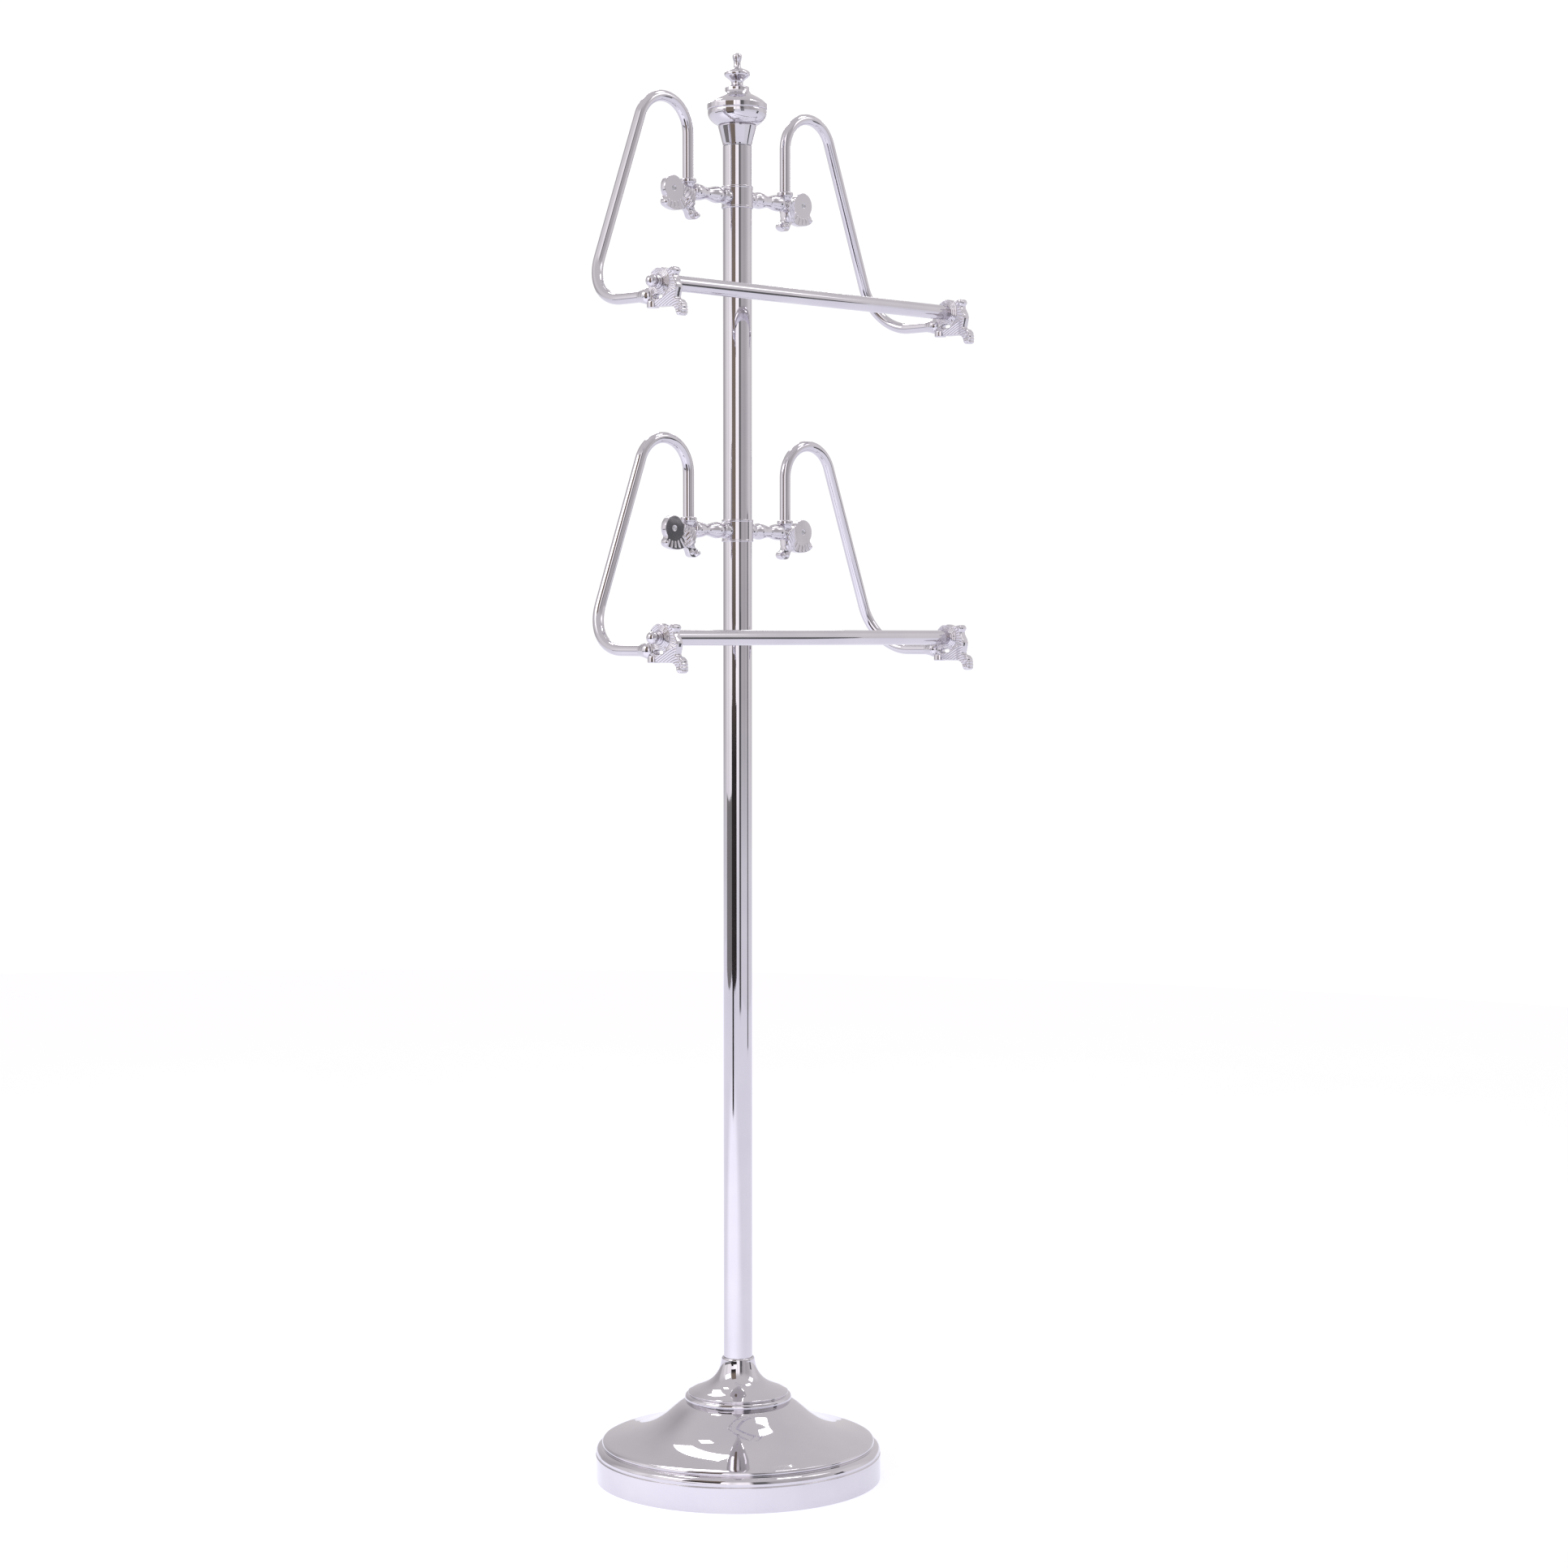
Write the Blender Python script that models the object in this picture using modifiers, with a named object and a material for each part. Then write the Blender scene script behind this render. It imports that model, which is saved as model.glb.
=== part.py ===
"""Two-tier towel and garment stand.

A weighted round base carries a plain post with a turned finial. Each of the two tiers has a
sleeve on the post, two turned spindles, two bent arms and one straight hanging bar in front.
World frame in metres: +Z is up, the origin is the centre of the base's underside, the bars
hang at -Y (the front) and run along X.
"""
import math

import bmesh
import bpy
from mathutils import Matrix, Vector

# ---------------------------------------------------------------- driving dimensions (metres)
MM = 0.001
GAP = 0.3 * MM                    # clearance between touching pieces

BASE_RADIUS = 127.0 * MM
BASE_WALL_TOP = 22.3 * MM
SHELL_THICKNESS = 1.8 * MM
PAD_THICKNESS = 2.0 * MM

POST_RADIUS = 12.7 * MM
POST_WALL = 1.2 * MM
POST_BOTTOM = 76.0 * MM
POST_TOP = 1179.0 * MM

TIER_HEIGHTS = {"upper": 1134.0 * MM, "lower": 842.5 * MM}
SIDES = {"left": -1.0, "right": 1.0}

COLLAR_OUTER = 14.0 * MM
COLLAR_BORE = 13.0 * MM
COLLAR_HEIGHT = 19.5 * MM
SADDLE_RADIUS = 6.8 * MM          # spindle's end that wraps the collar

HUB_X = 60.7 * MM                 # arm's upright leg, measured from the post's axis
HUB_RADIUS = 6.9 * MM
HUB_RIM_RADIUS = 7.1 * MM
HUB_RIM_BOTTOM = 6.6 * MM         # above the spindle's axis
HUB_RIM_TOP = 10.5 * MM

ARM_RADIUS = 4.8 * MM
ARM_BOW_RADIUS = 29.7 * MM
ARM_BOW_HEIGHT = 48.3 * MM        # bow's centre above the spindle's axis
ARM_SPLAY = math.radians(20.8)    # outward lean of the long leg
ARM_FOOT_RADIUS = 41.4 * MM       # bend that turns the long leg forward
BAR_DROP = 94.0 * MM              # bar's axis below the spindle's axis
FOOT_DROP = 104.5 * MM            # arm's forward run below the spindle's axis
BALL_Y = -73.8 * MM               # connector ball's centre
BALL_RADIUS = 7.0 * MM
BALL_SLEEVE = 9.0 * MM            # connector's reach back along the arm

BAR_Y = -89.8 * MM
BAR_RADIUS = 6.5 * MM
BAR_SOCKET_DEPTH = 5.0 * MM
KNOB_RADIUS = 5.3 * MM            # ball on each end of a bar
KNOB_REACH = 11.0 * MM            # ball's centre beyond the bracket's middle plane
CASTING_THICKNESS = 7.2 * MM
POST_CASTING_THICKNESS = 5.8 * MM  # its front face is level with the bar casting's
BOSS_RADIUS = 5.1 * MM            # round foot under a bar bracket
EYE_X = 20.3 * MM                 # post bracket's eye, outboard of the hub's centre
EYE_Z = 0.5 * MM
SCREW_HOLE_DEPTH = 2.0 * MM

COVER_SEGMENTS = 40               # facets round the base
SEGMENTS = 28                     # facets round the larger turned pieces
SMALL_SEGMENTS = 16

# ---------------------------------------------------------------- colours (linear RGB)
CHROME = (0.64, 0.62, 0.66)
STEEL = (0.55, 0.55, 0.57)
IRON = (0.10, 0.10, 0.10)
RUBBER = (0.03, 0.03, 0.03)


# ---------------------------------------------------------------- helpers
def clear_scene():
    for obj in list(bpy.data.objects):
        bpy.data.objects.remove(obj, do_unlink=True)


def new_collection(name):
    collection = bpy.data.collections.new(name)
    bpy.context.scene.collection.children.link(collection)
    return collection


def material(name, color, metallic, roughness):
    mat = bpy.data.materials.new(name)
    mat.use_nodes = True
    shader = mat.node_tree.nodes["Principled BSDF"]
    shader.inputs["Base Color"].default_value = (*color, 1.0)
    shader.inputs["Metallic"].default_value = metallic
    shader.inputs["Roughness"].default_value = roughness
    return mat


def chrome(name):
    return material(name, CHROME, 1.0, 0.06)


def steel(name):
    return material(name, STEEL, 1.0, 0.35)


def add_object(name, mesh, mat, collection, location=(0, 0, 0), rotation=(0, 0, 0), parent=None):
    obj = bpy.data.objects.new(name, mesh)
    collection.objects.link(obj)
    obj.parent = parent
    obj.location = location
    obj.rotation_euler = rotation
    if mat is not None and not mesh.materials:
        mesh.materials.append(mat)
    return obj


def shade_round(mesh, angle=40.0):
    mesh.shade_smooth()
    mesh.set_sharp_from_angle(angle=math.radians(angle))


def evaluated_mesh(obj, name):
    """Return the object's evaluated shape as a plain mesh and remove the object."""
    depsgraph = bpy.context.evaluated_depsgraph_get()
    mesh = bpy.data.meshes.new_from_object(obj.evaluated_get(depsgraph))
    mesh.name = name
    bpy.data.objects.remove(obj, do_unlink=True)
    return mesh


def turned_mesh(name, profile, segments=SEGMENTS, closed=False):
    """Spin (radius, height) points, listed from top to bottom, about Z with a Screw modifier."""
    mesh = bpy.data.meshes.new(name + "_profile")
    bm = bmesh.new()
    verts = [bm.verts.new((radius, 0.0, height)) for radius, height in profile]
    for first, second in zip(verts, verts[1:]):
        bm.edges.new((first, second))
    if closed:
        bm.edges.new((verts[-1], verts[0]))
    bm.to_mesh(mesh)
    bm.free()
    obj = bpy.data.objects.new(name + "_profile", mesh)
    guides.objects.link(obj)
    screw = obj.modifiers.new("Turn", "SCREW")
    screw.axis = "Z"
    screw.angle = 2.0 * math.pi
    screw.steps = segments
    screw.render_steps = segments
    screw.use_merge_vertices = True
    screw.merge_threshold = 0.01 * MM
    turned = evaluated_mesh(obj, name)
    close_mesh(turned)
    shade_round(turned)
    return turned


def close_mesh(mesh):
    """Weld coincident points and face every side outward."""
    bm = bmesh.new()
    bm.from_mesh(mesh)
    bmesh.ops.remove_doubles(bm, verts=bm.verts, dist=0.01 * MM)
    bmesh.ops.recalc_face_normals(bm, faces=bm.faces)
    bm.to_mesh(mesh)
    bm.free()


def turned(name, profile, mat, parent=None, segments=SEGMENTS, closed=False, **placing):
    mesh = turned_mesh(name, profile, segments, closed)
    return add_object(name, mesh, mat, parts, parent=parent, **placing)


def ring_profile(outer, inner, top, bottom):
    return [(outer, top), (outer, bottom), (inner, bottom), (inner, top)]


def disc_profile(radius, top, bottom):
    return [(0.0, top), (radius, top), (radius, bottom), (0.0, bottom)]


def ball_arc(radius, start_deg, end_deg, count):
    """Points of a ball's outline; angles run from +90 at the top to -90 at the bottom."""
    points = []
    for index in range(count + 1):
        angle = math.radians(start_deg + (end_deg - start_deg) * index / count)
        points.append((radius * math.cos(angle), radius * math.sin(angle)))
    return points


def cutter(name, mesh, matrix):
    obj = bpy.data.objects.new(name, mesh)
    cutters.objects.link(obj)
    obj.matrix_world = matrix
    obj.hide_render = True
    obj.display_type = "WIRE"
    return obj


def combine(mesh, steps):
    """Apply exact Booleans to a mesh; each step is (operation, tool mesh, tool matrix)."""
    body = bpy.data.objects.new(mesh.name, mesh)
    guides.objects.link(body)
    tools = []
    for index, (operation, tool_mesh, matrix) in enumerate(steps):
        tool = cutter(f"{mesh.name}_tool_{index}", tool_mesh, matrix)
        tools.append(tool)
        boolean = body.modifiers.new(f"Step {index}", "BOOLEAN")
        boolean.operation = operation
        boolean.solver = "EXACT"
        boolean.object = tool
    bpy.context.view_layer.update()
    result = evaluated_mesh(body, mesh.name + "_cut")
    for tool in tools:
        bpy.data.objects.remove(tool, do_unlink=True)
    close_mesh(result)
    shade_round(result)
    return result


def cylinder_mesh(name, radius, depth, segments=24):
    mesh = bpy.data.meshes.new(name)
    bm = bmesh.new()
    bmesh.ops.create_cone(bm, cap_ends=True, segments=segments, radius1=radius, radius2=radius,
                          depth=depth)
    bm.to_mesh(mesh)
    bm.free()
    return mesh


def sphere_mesh(name, radius, segments=16, rings=10):
    mesh = bpy.data.meshes.new(name)
    bm = bmesh.new()
    bmesh.ops.create_uvsphere(bm, u_segments=segments, v_segments=rings, radius=radius)
    bm.to_mesh(mesh)
    bm.free()
    return mesh


# ---------------------------------------------------------------- base
def base_flare():
    """Outer surface of the base cover, from its seat under the neck down to its rim."""
    seat_radius = POST_RADIUS + 1.5 * MM
    flare = [(47.0, 69.2), (52.0, 67.0), (58.5, 62.0), (67.0, 54.6), (78.0, 47.4), (92.0, 41.4),
             (107.0, 37.6), (118.0, 35.4)]
    lip = [(120.6, 34.2), (121.3, 32.6), (121.2, 30.4)]
    ovolo = [(122.6, 28.9), (125.2, 27.0), (126.6, 24.8)]
    points = [(radius * MM, height * MM) for radius, height in flare + lip + ovolo]
    wall = [(BASE_RADIUS, BASE_WALL_TOP), (BASE_RADIUS, 2.0 * GAP)]
    return [(seat_radius, 69.2 * MM)] + points + wall


def make_base():
    cover = bpy.data.meshes.new("base_cover")
    bm = bmesh.new()
    verts = [bm.verts.new((radius, 0.0, height)) for radius, height in base_flare()]
    for first, second in zip(verts, verts[1:]):
        bm.edges.new((first, second))
    bm.to_mesh(cover)
    bm.free()
    shell = add_object("base_cover", cover, chrome("base_cover"), parts)
    screw = shell.modifiers.new("Turn", "SCREW")
    screw.angle = 2.0 * math.pi
    screw.steps = COVER_SEGMENTS
    screw.render_steps = COVER_SEGMENTS
    screw.use_smooth_shade = True
    screw.use_merge_vertices = True
    screw.merge_threshold = 0.01 * MM
    wall = shell.modifiers.new("Wall", "SOLIDIFY")
    wall.thickness = SHELL_THICKNESS
    wall.offset = -1.0

    weight = [(5.2, 30.0), (40.0, 30.0), (48.0, 21.0), (119.0, 17.0), (122.5, 13.0),
              (122.5, 3.0), (10.0, 3.0), (10.0, 10.3), (5.2, 10.3)]
    weight = [(radius * MM, height * MM) for radius, height in weight]
    turned("base_weight", weight, material("base_weight", IRON, 0.4, 0.6), closed=True)
    turned("base_pad", disc_profile(BASE_RADIUS - 2.5 * MM, PAD_THICKNESS, 0.0),
           material("base_pad", RUBBER, 0.0, 0.8), segments=COVER_SEGMENTS)

    bell = [(13.3, 108.4), (13.9, 108.4), (14.7, 107.4), (15.0, 104.5), (15.9, 100.4),
            (17.5, 96.3), (20.1, 92.1), (23.6, 88.3), (28.2, 85.1), (34.0, 82.4), (39.2, 80.4)]
    beads = [(42.2, 78.6), (44.8, 77.0), (44.4, 75.7), (46.8, 74.6), (47.8, 72.6), (46.4, 69.6)]
    inside = [(42.0, 69.6), (36.0, 75.4), (22.0, 84.0), (15.5, 92.0), (13.3, 99.0)]
    neck = [(radius * MM, height * MM) for radius, height in bell + beads + inside]
    turned("base_neck", neck, chrome("base_neck"), segments=SEGMENTS, closed=True)

    washer = ring_profile(16.0 * MM, 5.0 * MM, 32.3 * MM, 30.3 * MM)
    turned("base_washer", washer, steel("base_washer"), segments=24, closed=True)
    bolt = [(0.0, 96.0), (4.0, 96.0), (4.6, 95.0), (4.6, 10.0), (8.0, 10.0), (8.0, 4.0), (0.0, 4.0)]
    bolt = [(radius * MM, height * MM) for radius, height in bolt]
    turned("base_bolt", bolt, steel("base_bolt"), segments=12)


# ---------------------------------------------------------------- post
def make_post():
    inner = POST_RADIUS - POST_WALL
    joints = [POST_BOTTOM, TIER_HEIGHTS["lower"], TIER_HEIGHTS["upper"], POST_TOP]
    for name, bottom, top in zip(("post_lower", "post_middle", "post_upper"), joints, joints[1:]):
        tube = ring_profile(POST_RADIUS, inner, top - GAP, bottom)
        turned(name, tube, chrome(name), segments=24, closed=True)
    for name, height in TIER_HEIGHTS.items():
        half = 22.0 * MM
        nipple = ring_profile(inner - GAP, 7.5 * MM, height + half, height - half)
        turned("post_coupler_" + name, nipple, steel("post_coupler_" + name), segments=16,
               closed=True)
    plug_top = POST_BOTTOM + 24.0 * MM
    plug = ring_profile(inner - GAP, 5.0 * MM, plug_top, POST_BOTTOM + 0.5 * MM)
    turned("post_foot_plug", plug, steel("post_foot_plug"), segments=16, closed=True)


# ---------------------------------------------------------------- finial
def make_finial():
    """Five stacked turned pieces, each a gap above the one below."""
    cone = [(0.0, 1197.0), (16.4, 1197.0), (16.8, 1196.2), (12.1, 1179.4), (0.0, 1179.4)]
    bowl = [(0.0, 1210.0), (25.7, 1210.0), (26.0, 1208.4), (25.6, 1205.5), (24.4, 1202.6),
            (21.6, 1199.3), (18.5, 1197.5), (17.4, 1197.3), (0.0, 1197.3)]
    rim = [(0.0, 1215.5), (26.2, 1215.5), (26.5, 1215.0), (26.5, 1210.8), (26.2, 1210.3),
           (0.0, 1210.3)]
    dome = [(0.0, 1230.3), (10.0, 1230.3), (10.6, 1229.4), (10.7, 1226.8), (12.2, 1224.1),
            (14.4, 1222.8), (20.0, 1220.2), (24.1, 1217.2), (25.3, 1215.8), (0.0, 1215.8)]
    knob = [(0.0, 1259.5), (2.2, 1259.0), (3.6, 1257.6), (4.0, 1256.0), (3.5, 1253.6),
            (3.0, 1250.3), (3.3, 1247.7), (6.2, 1245.6), (9.7, 1243.8), (11.3, 1241.6),
            (11.2, 1240.0), (8.9, 1238.1), (6.1, 1235.5), (5.0, 1233.0), (6.2, 1230.9),
            (0.0, 1230.6)]
    pieces = {"finial_cone": cone, "finial_bowl": bowl, "finial_rim": rim, "finial_dome": dome,
              "finial_knob": knob}
    for name, points in pieces.items():
        profile = [(radius * MM, height * MM) for radius, height in points]
        segments = 16 if name == "finial_knob" else 24
        turned(name, profile, chrome(name), segments=segments)


# ---------------------------------------------------------------- arms
def arm_route(side):
    """Centre line of one arm, from the hub on the post side to the connector ball.

    Heights are measured from the spindle's axis. The bow lies in the plane of the post; the
    last bend turns the leaning leg forward, to -Y.
    """
    centre_x = HUB_X + ARM_BOW_RADIUS
    points = [Vector((HUB_X, 0.0, HUB_RIM_TOP + GAP))]
    bow_steps = 13
    for step in range(bow_steps + 1):
        angle = math.pi - (math.pi - ARM_SPLAY) * step / bow_steps
        points.append(Vector((centre_x + ARM_BOW_RADIUS * math.cos(angle), 0.0,
                              ARM_BOW_HEIGHT + ARM_BOW_RADIUS * math.sin(angle))))
    lean = Vector((math.sin(ARM_SPLAY), 0.0, -math.cos(ARM_SPLAY)))
    forward = Vector((0.0, -1.0, 0.0))
    corner = points[-1] + lean * ((points[-1].z + FOOT_DROP) / math.cos(ARM_SPLAY))
    start = corner - lean * ARM_FOOT_RADIUS
    bend_steps = 8
    for step in range(bend_steps + 1):
        angle = 0.5 * math.pi * step / bend_steps
        points.append(start + lean * (ARM_FOOT_RADIUS * math.sin(angle))
                      + forward * (ARM_FOOT_RADIUS * (1.0 - math.cos(angle))))
    points.append(Vector((corner.x, BALL_Y + BALL_SLEEVE + GAP, -FOOT_DROP)))
    return [Vector((side * point.x, point.y, point.z)) for point in points]


def arm_foot_x():
    """X of the arm's forward run, where the bar's bracket stands."""
    return arm_route(1.0)[-1].x


def arm_mesh(name, side):
    curve = bpy.data.curves.new(name, "CURVE")
    curve.dimensions = "3D"
    curve.bevel_depth = ARM_RADIUS
    curve.bevel_resolution = 3
    curve.use_fill_caps = True
    route = arm_route(side)
    spline = curve.splines.new("POLY")
    spline.points.add(len(route) - 1)
    for point, place in zip(spline.points, route):
        point.co = (*place, 1.0)
    obj = bpy.data.objects.new(name, curve)
    guides.objects.link(obj)
    mesh = evaluated_mesh(obj, name)
    close_mesh(mesh)
    shade_round(mesh)
    return mesh


# ---------------------------------------------------------------- ornamental castings
# The casting's own plane has its eye (where the bar or the screw sits) at the origin.
LEAF_RADIUS = 11.0 * MM
WING = [(12.3, 10.6), (14.3, 11.1), (16.8, 11.0), (18.4, 9.6), (18.4, 7.2), (16.9, 5.4)]
BELLY = [(17.6, 2.2), (19.6, -0.8), (20.8, -3.6), (20.6, -7.4), (19.6, -11.4), (18.8, -15.2)]
SCROLL_FOOT = [(22.0, -15.9), (24.6, -16.9), (26.2, -19.2), (26.8, -23.6), (26.6, -27.5),
               (25.2, -29.0), (22.3, -29.2), (20.4, -27.4), (19.9, -24.6)]
ARCH = [(17.9, -22.2), (15.2, -20.8)]
# The post casting's edge, outboard of and above its eye.
POST_WING = [(8.8, -8.8), (10.6, -10.2), (11.3, -12.4), (10.7, -14.6), (9.2, -15.8)]
POST_BELLY = [(6.5, -17.0), (3.0, -18.0), (-1.5, -18.6), (-6.0, -18.5), (-10.0, -17.6),
              (-12.6, -16.5)]
POST_FOOT = [(-15.2, -17.2), (-17.0, -19.2), (-18.2, -22.8), (-20.2, -24.6), (-23.4, -25.0),
             (-26.8, -24.6), (-29.4, -23.2), (-30.5, -20.9), (-29.4, -18.6), (-27.0, -17.6),
             (-24.8, -15.8)]
DISC_RADIUS = 10.9 * MM


def arc(centre, radius, start_deg, end_deg, count):
    points = []
    for index in range(count + 1):
        angle = math.radians(start_deg + (end_deg - start_deg) * index / count)
        points.append((centre[0] + radius * math.cos(angle), centre[1] + radius * math.sin(angle)))
    return points


def metres(points):
    return [(first * MM, second * MM) for first, second in points]


def leaf_edge(start_deg, end_deg, lobes):
    """Scalloped round edge about the eye, one shallow lobe after another."""
    points = []
    count = lobes * 3
    for index in range(count + 1):
        angle = math.radians(start_deg + (end_deg - start_deg) * index / count)
        radius = LEAF_RADIUS + 0.45 * MM * abs(math.sin(math.pi * index / 3.0))
        points.append((radius * math.cos(angle), radius * math.sin(angle)))
    return points


def plate_mesh(name, outline, thickness, holes=()):
    """Flat plate from closed outlines in XY, centred on Z."""
    curve = bpy.data.curves.new(name, "CURVE")
    curve.dimensions = "2D"
    curve.fill_mode = "BOTH"
    curve.extrude = 0.5 * thickness
    for loop in (outline, *holes):
        spline = curve.splines.new("POLY")
        spline.points.add(len(loop) - 1)
        spline.use_cyclic_u = True
        for point, (first, second) in zip(spline.points, loop):
            point.co = (first, second, 0.0, 1.0)
    obj = bpy.data.objects.new(name, curve)
    guides.objects.link(obj)
    mesh = evaluated_mesh(obj, name)
    close_mesh(mesh)
    return mesh


def bar_bracket_mesh(side):
    """Casting that joins an arm's ball to the bar: x forward, y up, z to the left (world -X).

    The bar's socket is blind and opens on the inboard face.
    """
    ball = (BAR_Y - BALL_Y, BAR_DROP - FOOT_DROP)
    sole = -20.6 * MM
    boss_x = ball[0] + 5.9 * MM
    outline = metres(WING + BELLY + SCROLL_FOOT + ARCH)
    outline += [(12.0 * MM, sole), (boss_x + 6.5 * MM, sole), (boss_x + 5.5 * MM, sole + 2.3 * MM),
                (boss_x - 2.0 * MM, sole + 2.3 * MM)]
    outline += arc(ball, BALL_RADIUS + GAP, -70.0, 70.0, 8)
    outline += leaf_edge(200.0, 60.0, 5)
    slot_y = -12.0 * MM
    slot_end = 1.6 * MM
    slot = arc((3.8 * MM, slot_y), slot_end, -90.0, 90.0, 3)
    slot += arc((-1.2 * MM, slot_y), slot_end, 90.0, 270.0, 3)
    plate = plate_mesh("bar_bracket", outline, CASTING_THICKNESS, (slot,))
    boss_height = 2.7 * MM
    boss = cylinder_mesh("boss", BOSS_RADIUS, boss_height)
    upright = Matrix.Rotation(0.5 * math.pi, 4, "X")
    boss_place = Matrix.Translation((boss_x, sole - GAP + 0.5 * boss_height, 0.0)) @ upright
    socket = cylinder_mesh("bar_socket", BAR_RADIUS + GAP, 2.0 * BAR_SOCKET_DEPTH, 20)
    socket_place = Matrix.Translation((0.0, 0.0, side * 0.5 * CASTING_THICKNESS))
    return combine(plate, [("UNION", boss, boss_place), ("DIFFERENCE", socket, socket_place)])


def post_bracket_mesh(side):
    """Casting that faces forward beside the post: x to the right, y up, z to the front.

    Its eye is a flat disc outboard of the hub. The hub's centre is the origin here.
    """
    seat = HUB_RADIUS + GAP
    edge = [(EYE_X + first, EYE_Z + second)
            for first, second in metres(POST_WING + POST_BELLY + POST_FOOT)]
    neck = [(-3.2 * MM, -13.6 * MM), (-3.2 * MM, -9.0 * MM)]
    inner = 0.8 * seat             # inside the ball cut, so that the whole edge is hollowed
    hollow = arc((0.0, 0.0), inner, -108.0, -12.0, 5)
    disc = [(EYE_X + first, EYE_Z + second)
            for first, second in arc((0.0, 0.0), DISC_RADIUS, 150.0, -42.0, 16)]
    outline = edge + neck + hollow + disc
    outline = [(side * first, second) for first, second in outline]
    plate = plate_mesh("post_bracket", outline, POST_CASTING_THICKNESS)
    hole = cylinder_mesh("screw_hole", 2.8 * MM, 2.0 * SCREW_HOLE_DEPTH, 16)
    front = 0.5 * CASTING_THICKNESS
    plate.transform(Matrix.Translation((0.0, 0.0, front - 0.5 * POST_CASTING_THICKNESS)))
    hole_place = Matrix.Translation((side * EYE_X, EYE_Z, front))
    return combine(plate, [("DIFFERENCE", hole, hole_place),
                           ("DIFFERENCE", sphere_mesh("hub_seat", seat), Matrix.Identity(4))])


# ---------------------------------------------------------------- one tier
def spindle_mesh():
    """Turned arm from the collar out to the hub, along +Z here; its end wraps the collar."""
    end = HUB_X - HUB_RADIUS - GAP
    profile = [(0.0, end), (5.9 * MM, end), (6.9 * MM, end - 1.5 * MM), (7.2 * MM, end - 4.0 * MM),
               (6.5 * MM, 44.5 * MM), (5.3 * MM, 39.0 * MM), (5.9 * MM, 33.0 * MM),
               (7.1 * MM, 27.5 * MM), (6.9 * MM, 23.5 * MM), (6.3 * MM, 20.0 * MM),
               (SADDLE_RADIUS, 17.0 * MM), (SADDLE_RADIUS, 6.0 * MM), (0.0, 6.0 * MM)]
    spindle = turned_mesh("spindle", profile, SMALL_SEGMENTS)
    wrap = cylinder_mesh("collar_wrap", COLLAR_OUTER + GAP, 40.0 * MM, 40)
    crossways = Matrix.Rotation(0.5 * math.pi, 4, "Y")
    return combine(spindle, [("DIFFERENCE", wrap, crossways)])


def hub_mesh():
    """Ball with a flat rim on top that the arm's upright leg stands on."""
    rim_edge = 0.4 * MM
    profile = [(0.0, HUB_RIM_TOP), (HUB_RIM_RADIUS - rim_edge, HUB_RIM_TOP),
               (HUB_RIM_RADIUS, HUB_RIM_TOP - rim_edge), (HUB_RIM_RADIUS, HUB_RIM_BOTTOM)]
    profile += ball_arc(HUB_RADIUS, 46.0, -90.0, 7)
    return turned_mesh("hub", profile, SMALL_SEGMENTS)


def connector_mesh():
    """Ball on the arm's forward end, with a sleeve that flares from the tube; sleeve up +Z."""
    profile = [(0.0, BALL_SLEEVE), (ARM_RADIUS + 0.2 * MM, BALL_SLEEVE),
               (ARM_RADIUS + 0.6 * MM, BALL_SLEEVE - 2.0 * MM)]
    profile += ball_arc(BALL_RADIUS, 36.0, -90.0, 7)
    return turned_mesh("connector", profile, SMALL_SEGMENTS)


def knob_mesh():
    """Collar, neck and ball on a bar bracket's outer face; the ball is up +Z."""
    face = 0.5 * CASTING_THICKNESS + GAP
    profile = [(first, KNOB_REACH + second) for first, second in ball_arc(KNOB_RADIUS, 90, -52, 6)]
    profile += [(3.1 * MM, face + 1.0 * MM), (4.8 * MM, face + 0.7 * MM), (4.8 * MM, face),
                (0.0, face)]
    return turned_mesh("knob", profile, SMALL_SEGMENTS)


def collar_mesh():
    """Sleeve on the post with a tapped hole at the back for its set screw; hole at +Y."""
    half = 0.5 * COLLAR_HEIGHT
    profile = ring_profile(COLLAR_OUTER, COLLAR_BORE, half, -half)
    sleeve = turned_mesh("collar", profile, 40, closed=True)
    hole = cylinder_mesh("set_screw_hole", 2.3 * MM, 6.0 * MM, 12)
    place = Matrix.Translation((0.0, COLLAR_OUTER, 0.0)) @ Matrix.Rotation(0.5 * math.pi, 4, "X")
    return combine(sleeve, [("DIFFERENCE", hole, place)])


def make_shared_meshes():
    screw_profile = [(0.0, 15.6), (1.6, 15.6), (2.0, 15.2), (2.0, 13.1), (0.0, 13.1)]
    button_profile = [(0.0, 1.7), (1.2, 1.5), (2.1, 0.9), (2.4, 0.0), (0.0, 0.0)]
    return {
        "spindle": spindle_mesh(),
        "hub": hub_mesh(),
        "connector": connector_mesh(),
        "knob": knob_mesh(),
        "collar": collar_mesh(),
        "bar_bracket_left": bar_bracket_mesh(-1.0),
        "bar_bracket_right": bar_bracket_mesh(1.0),
        "set_screw": turned_mesh("set_screw", metres(screw_profile), 12),
        "button": turned_mesh("button", metres(button_profile), 12),
        "arm_left": arm_mesh("arm_left", -1.0),
        "arm_right": arm_mesh("arm_right", 1.0),
        "post_bracket_left": post_bracket_mesh(-1.0),
        "post_bracket_right": post_bracket_mesh(1.0),
    }


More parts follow.
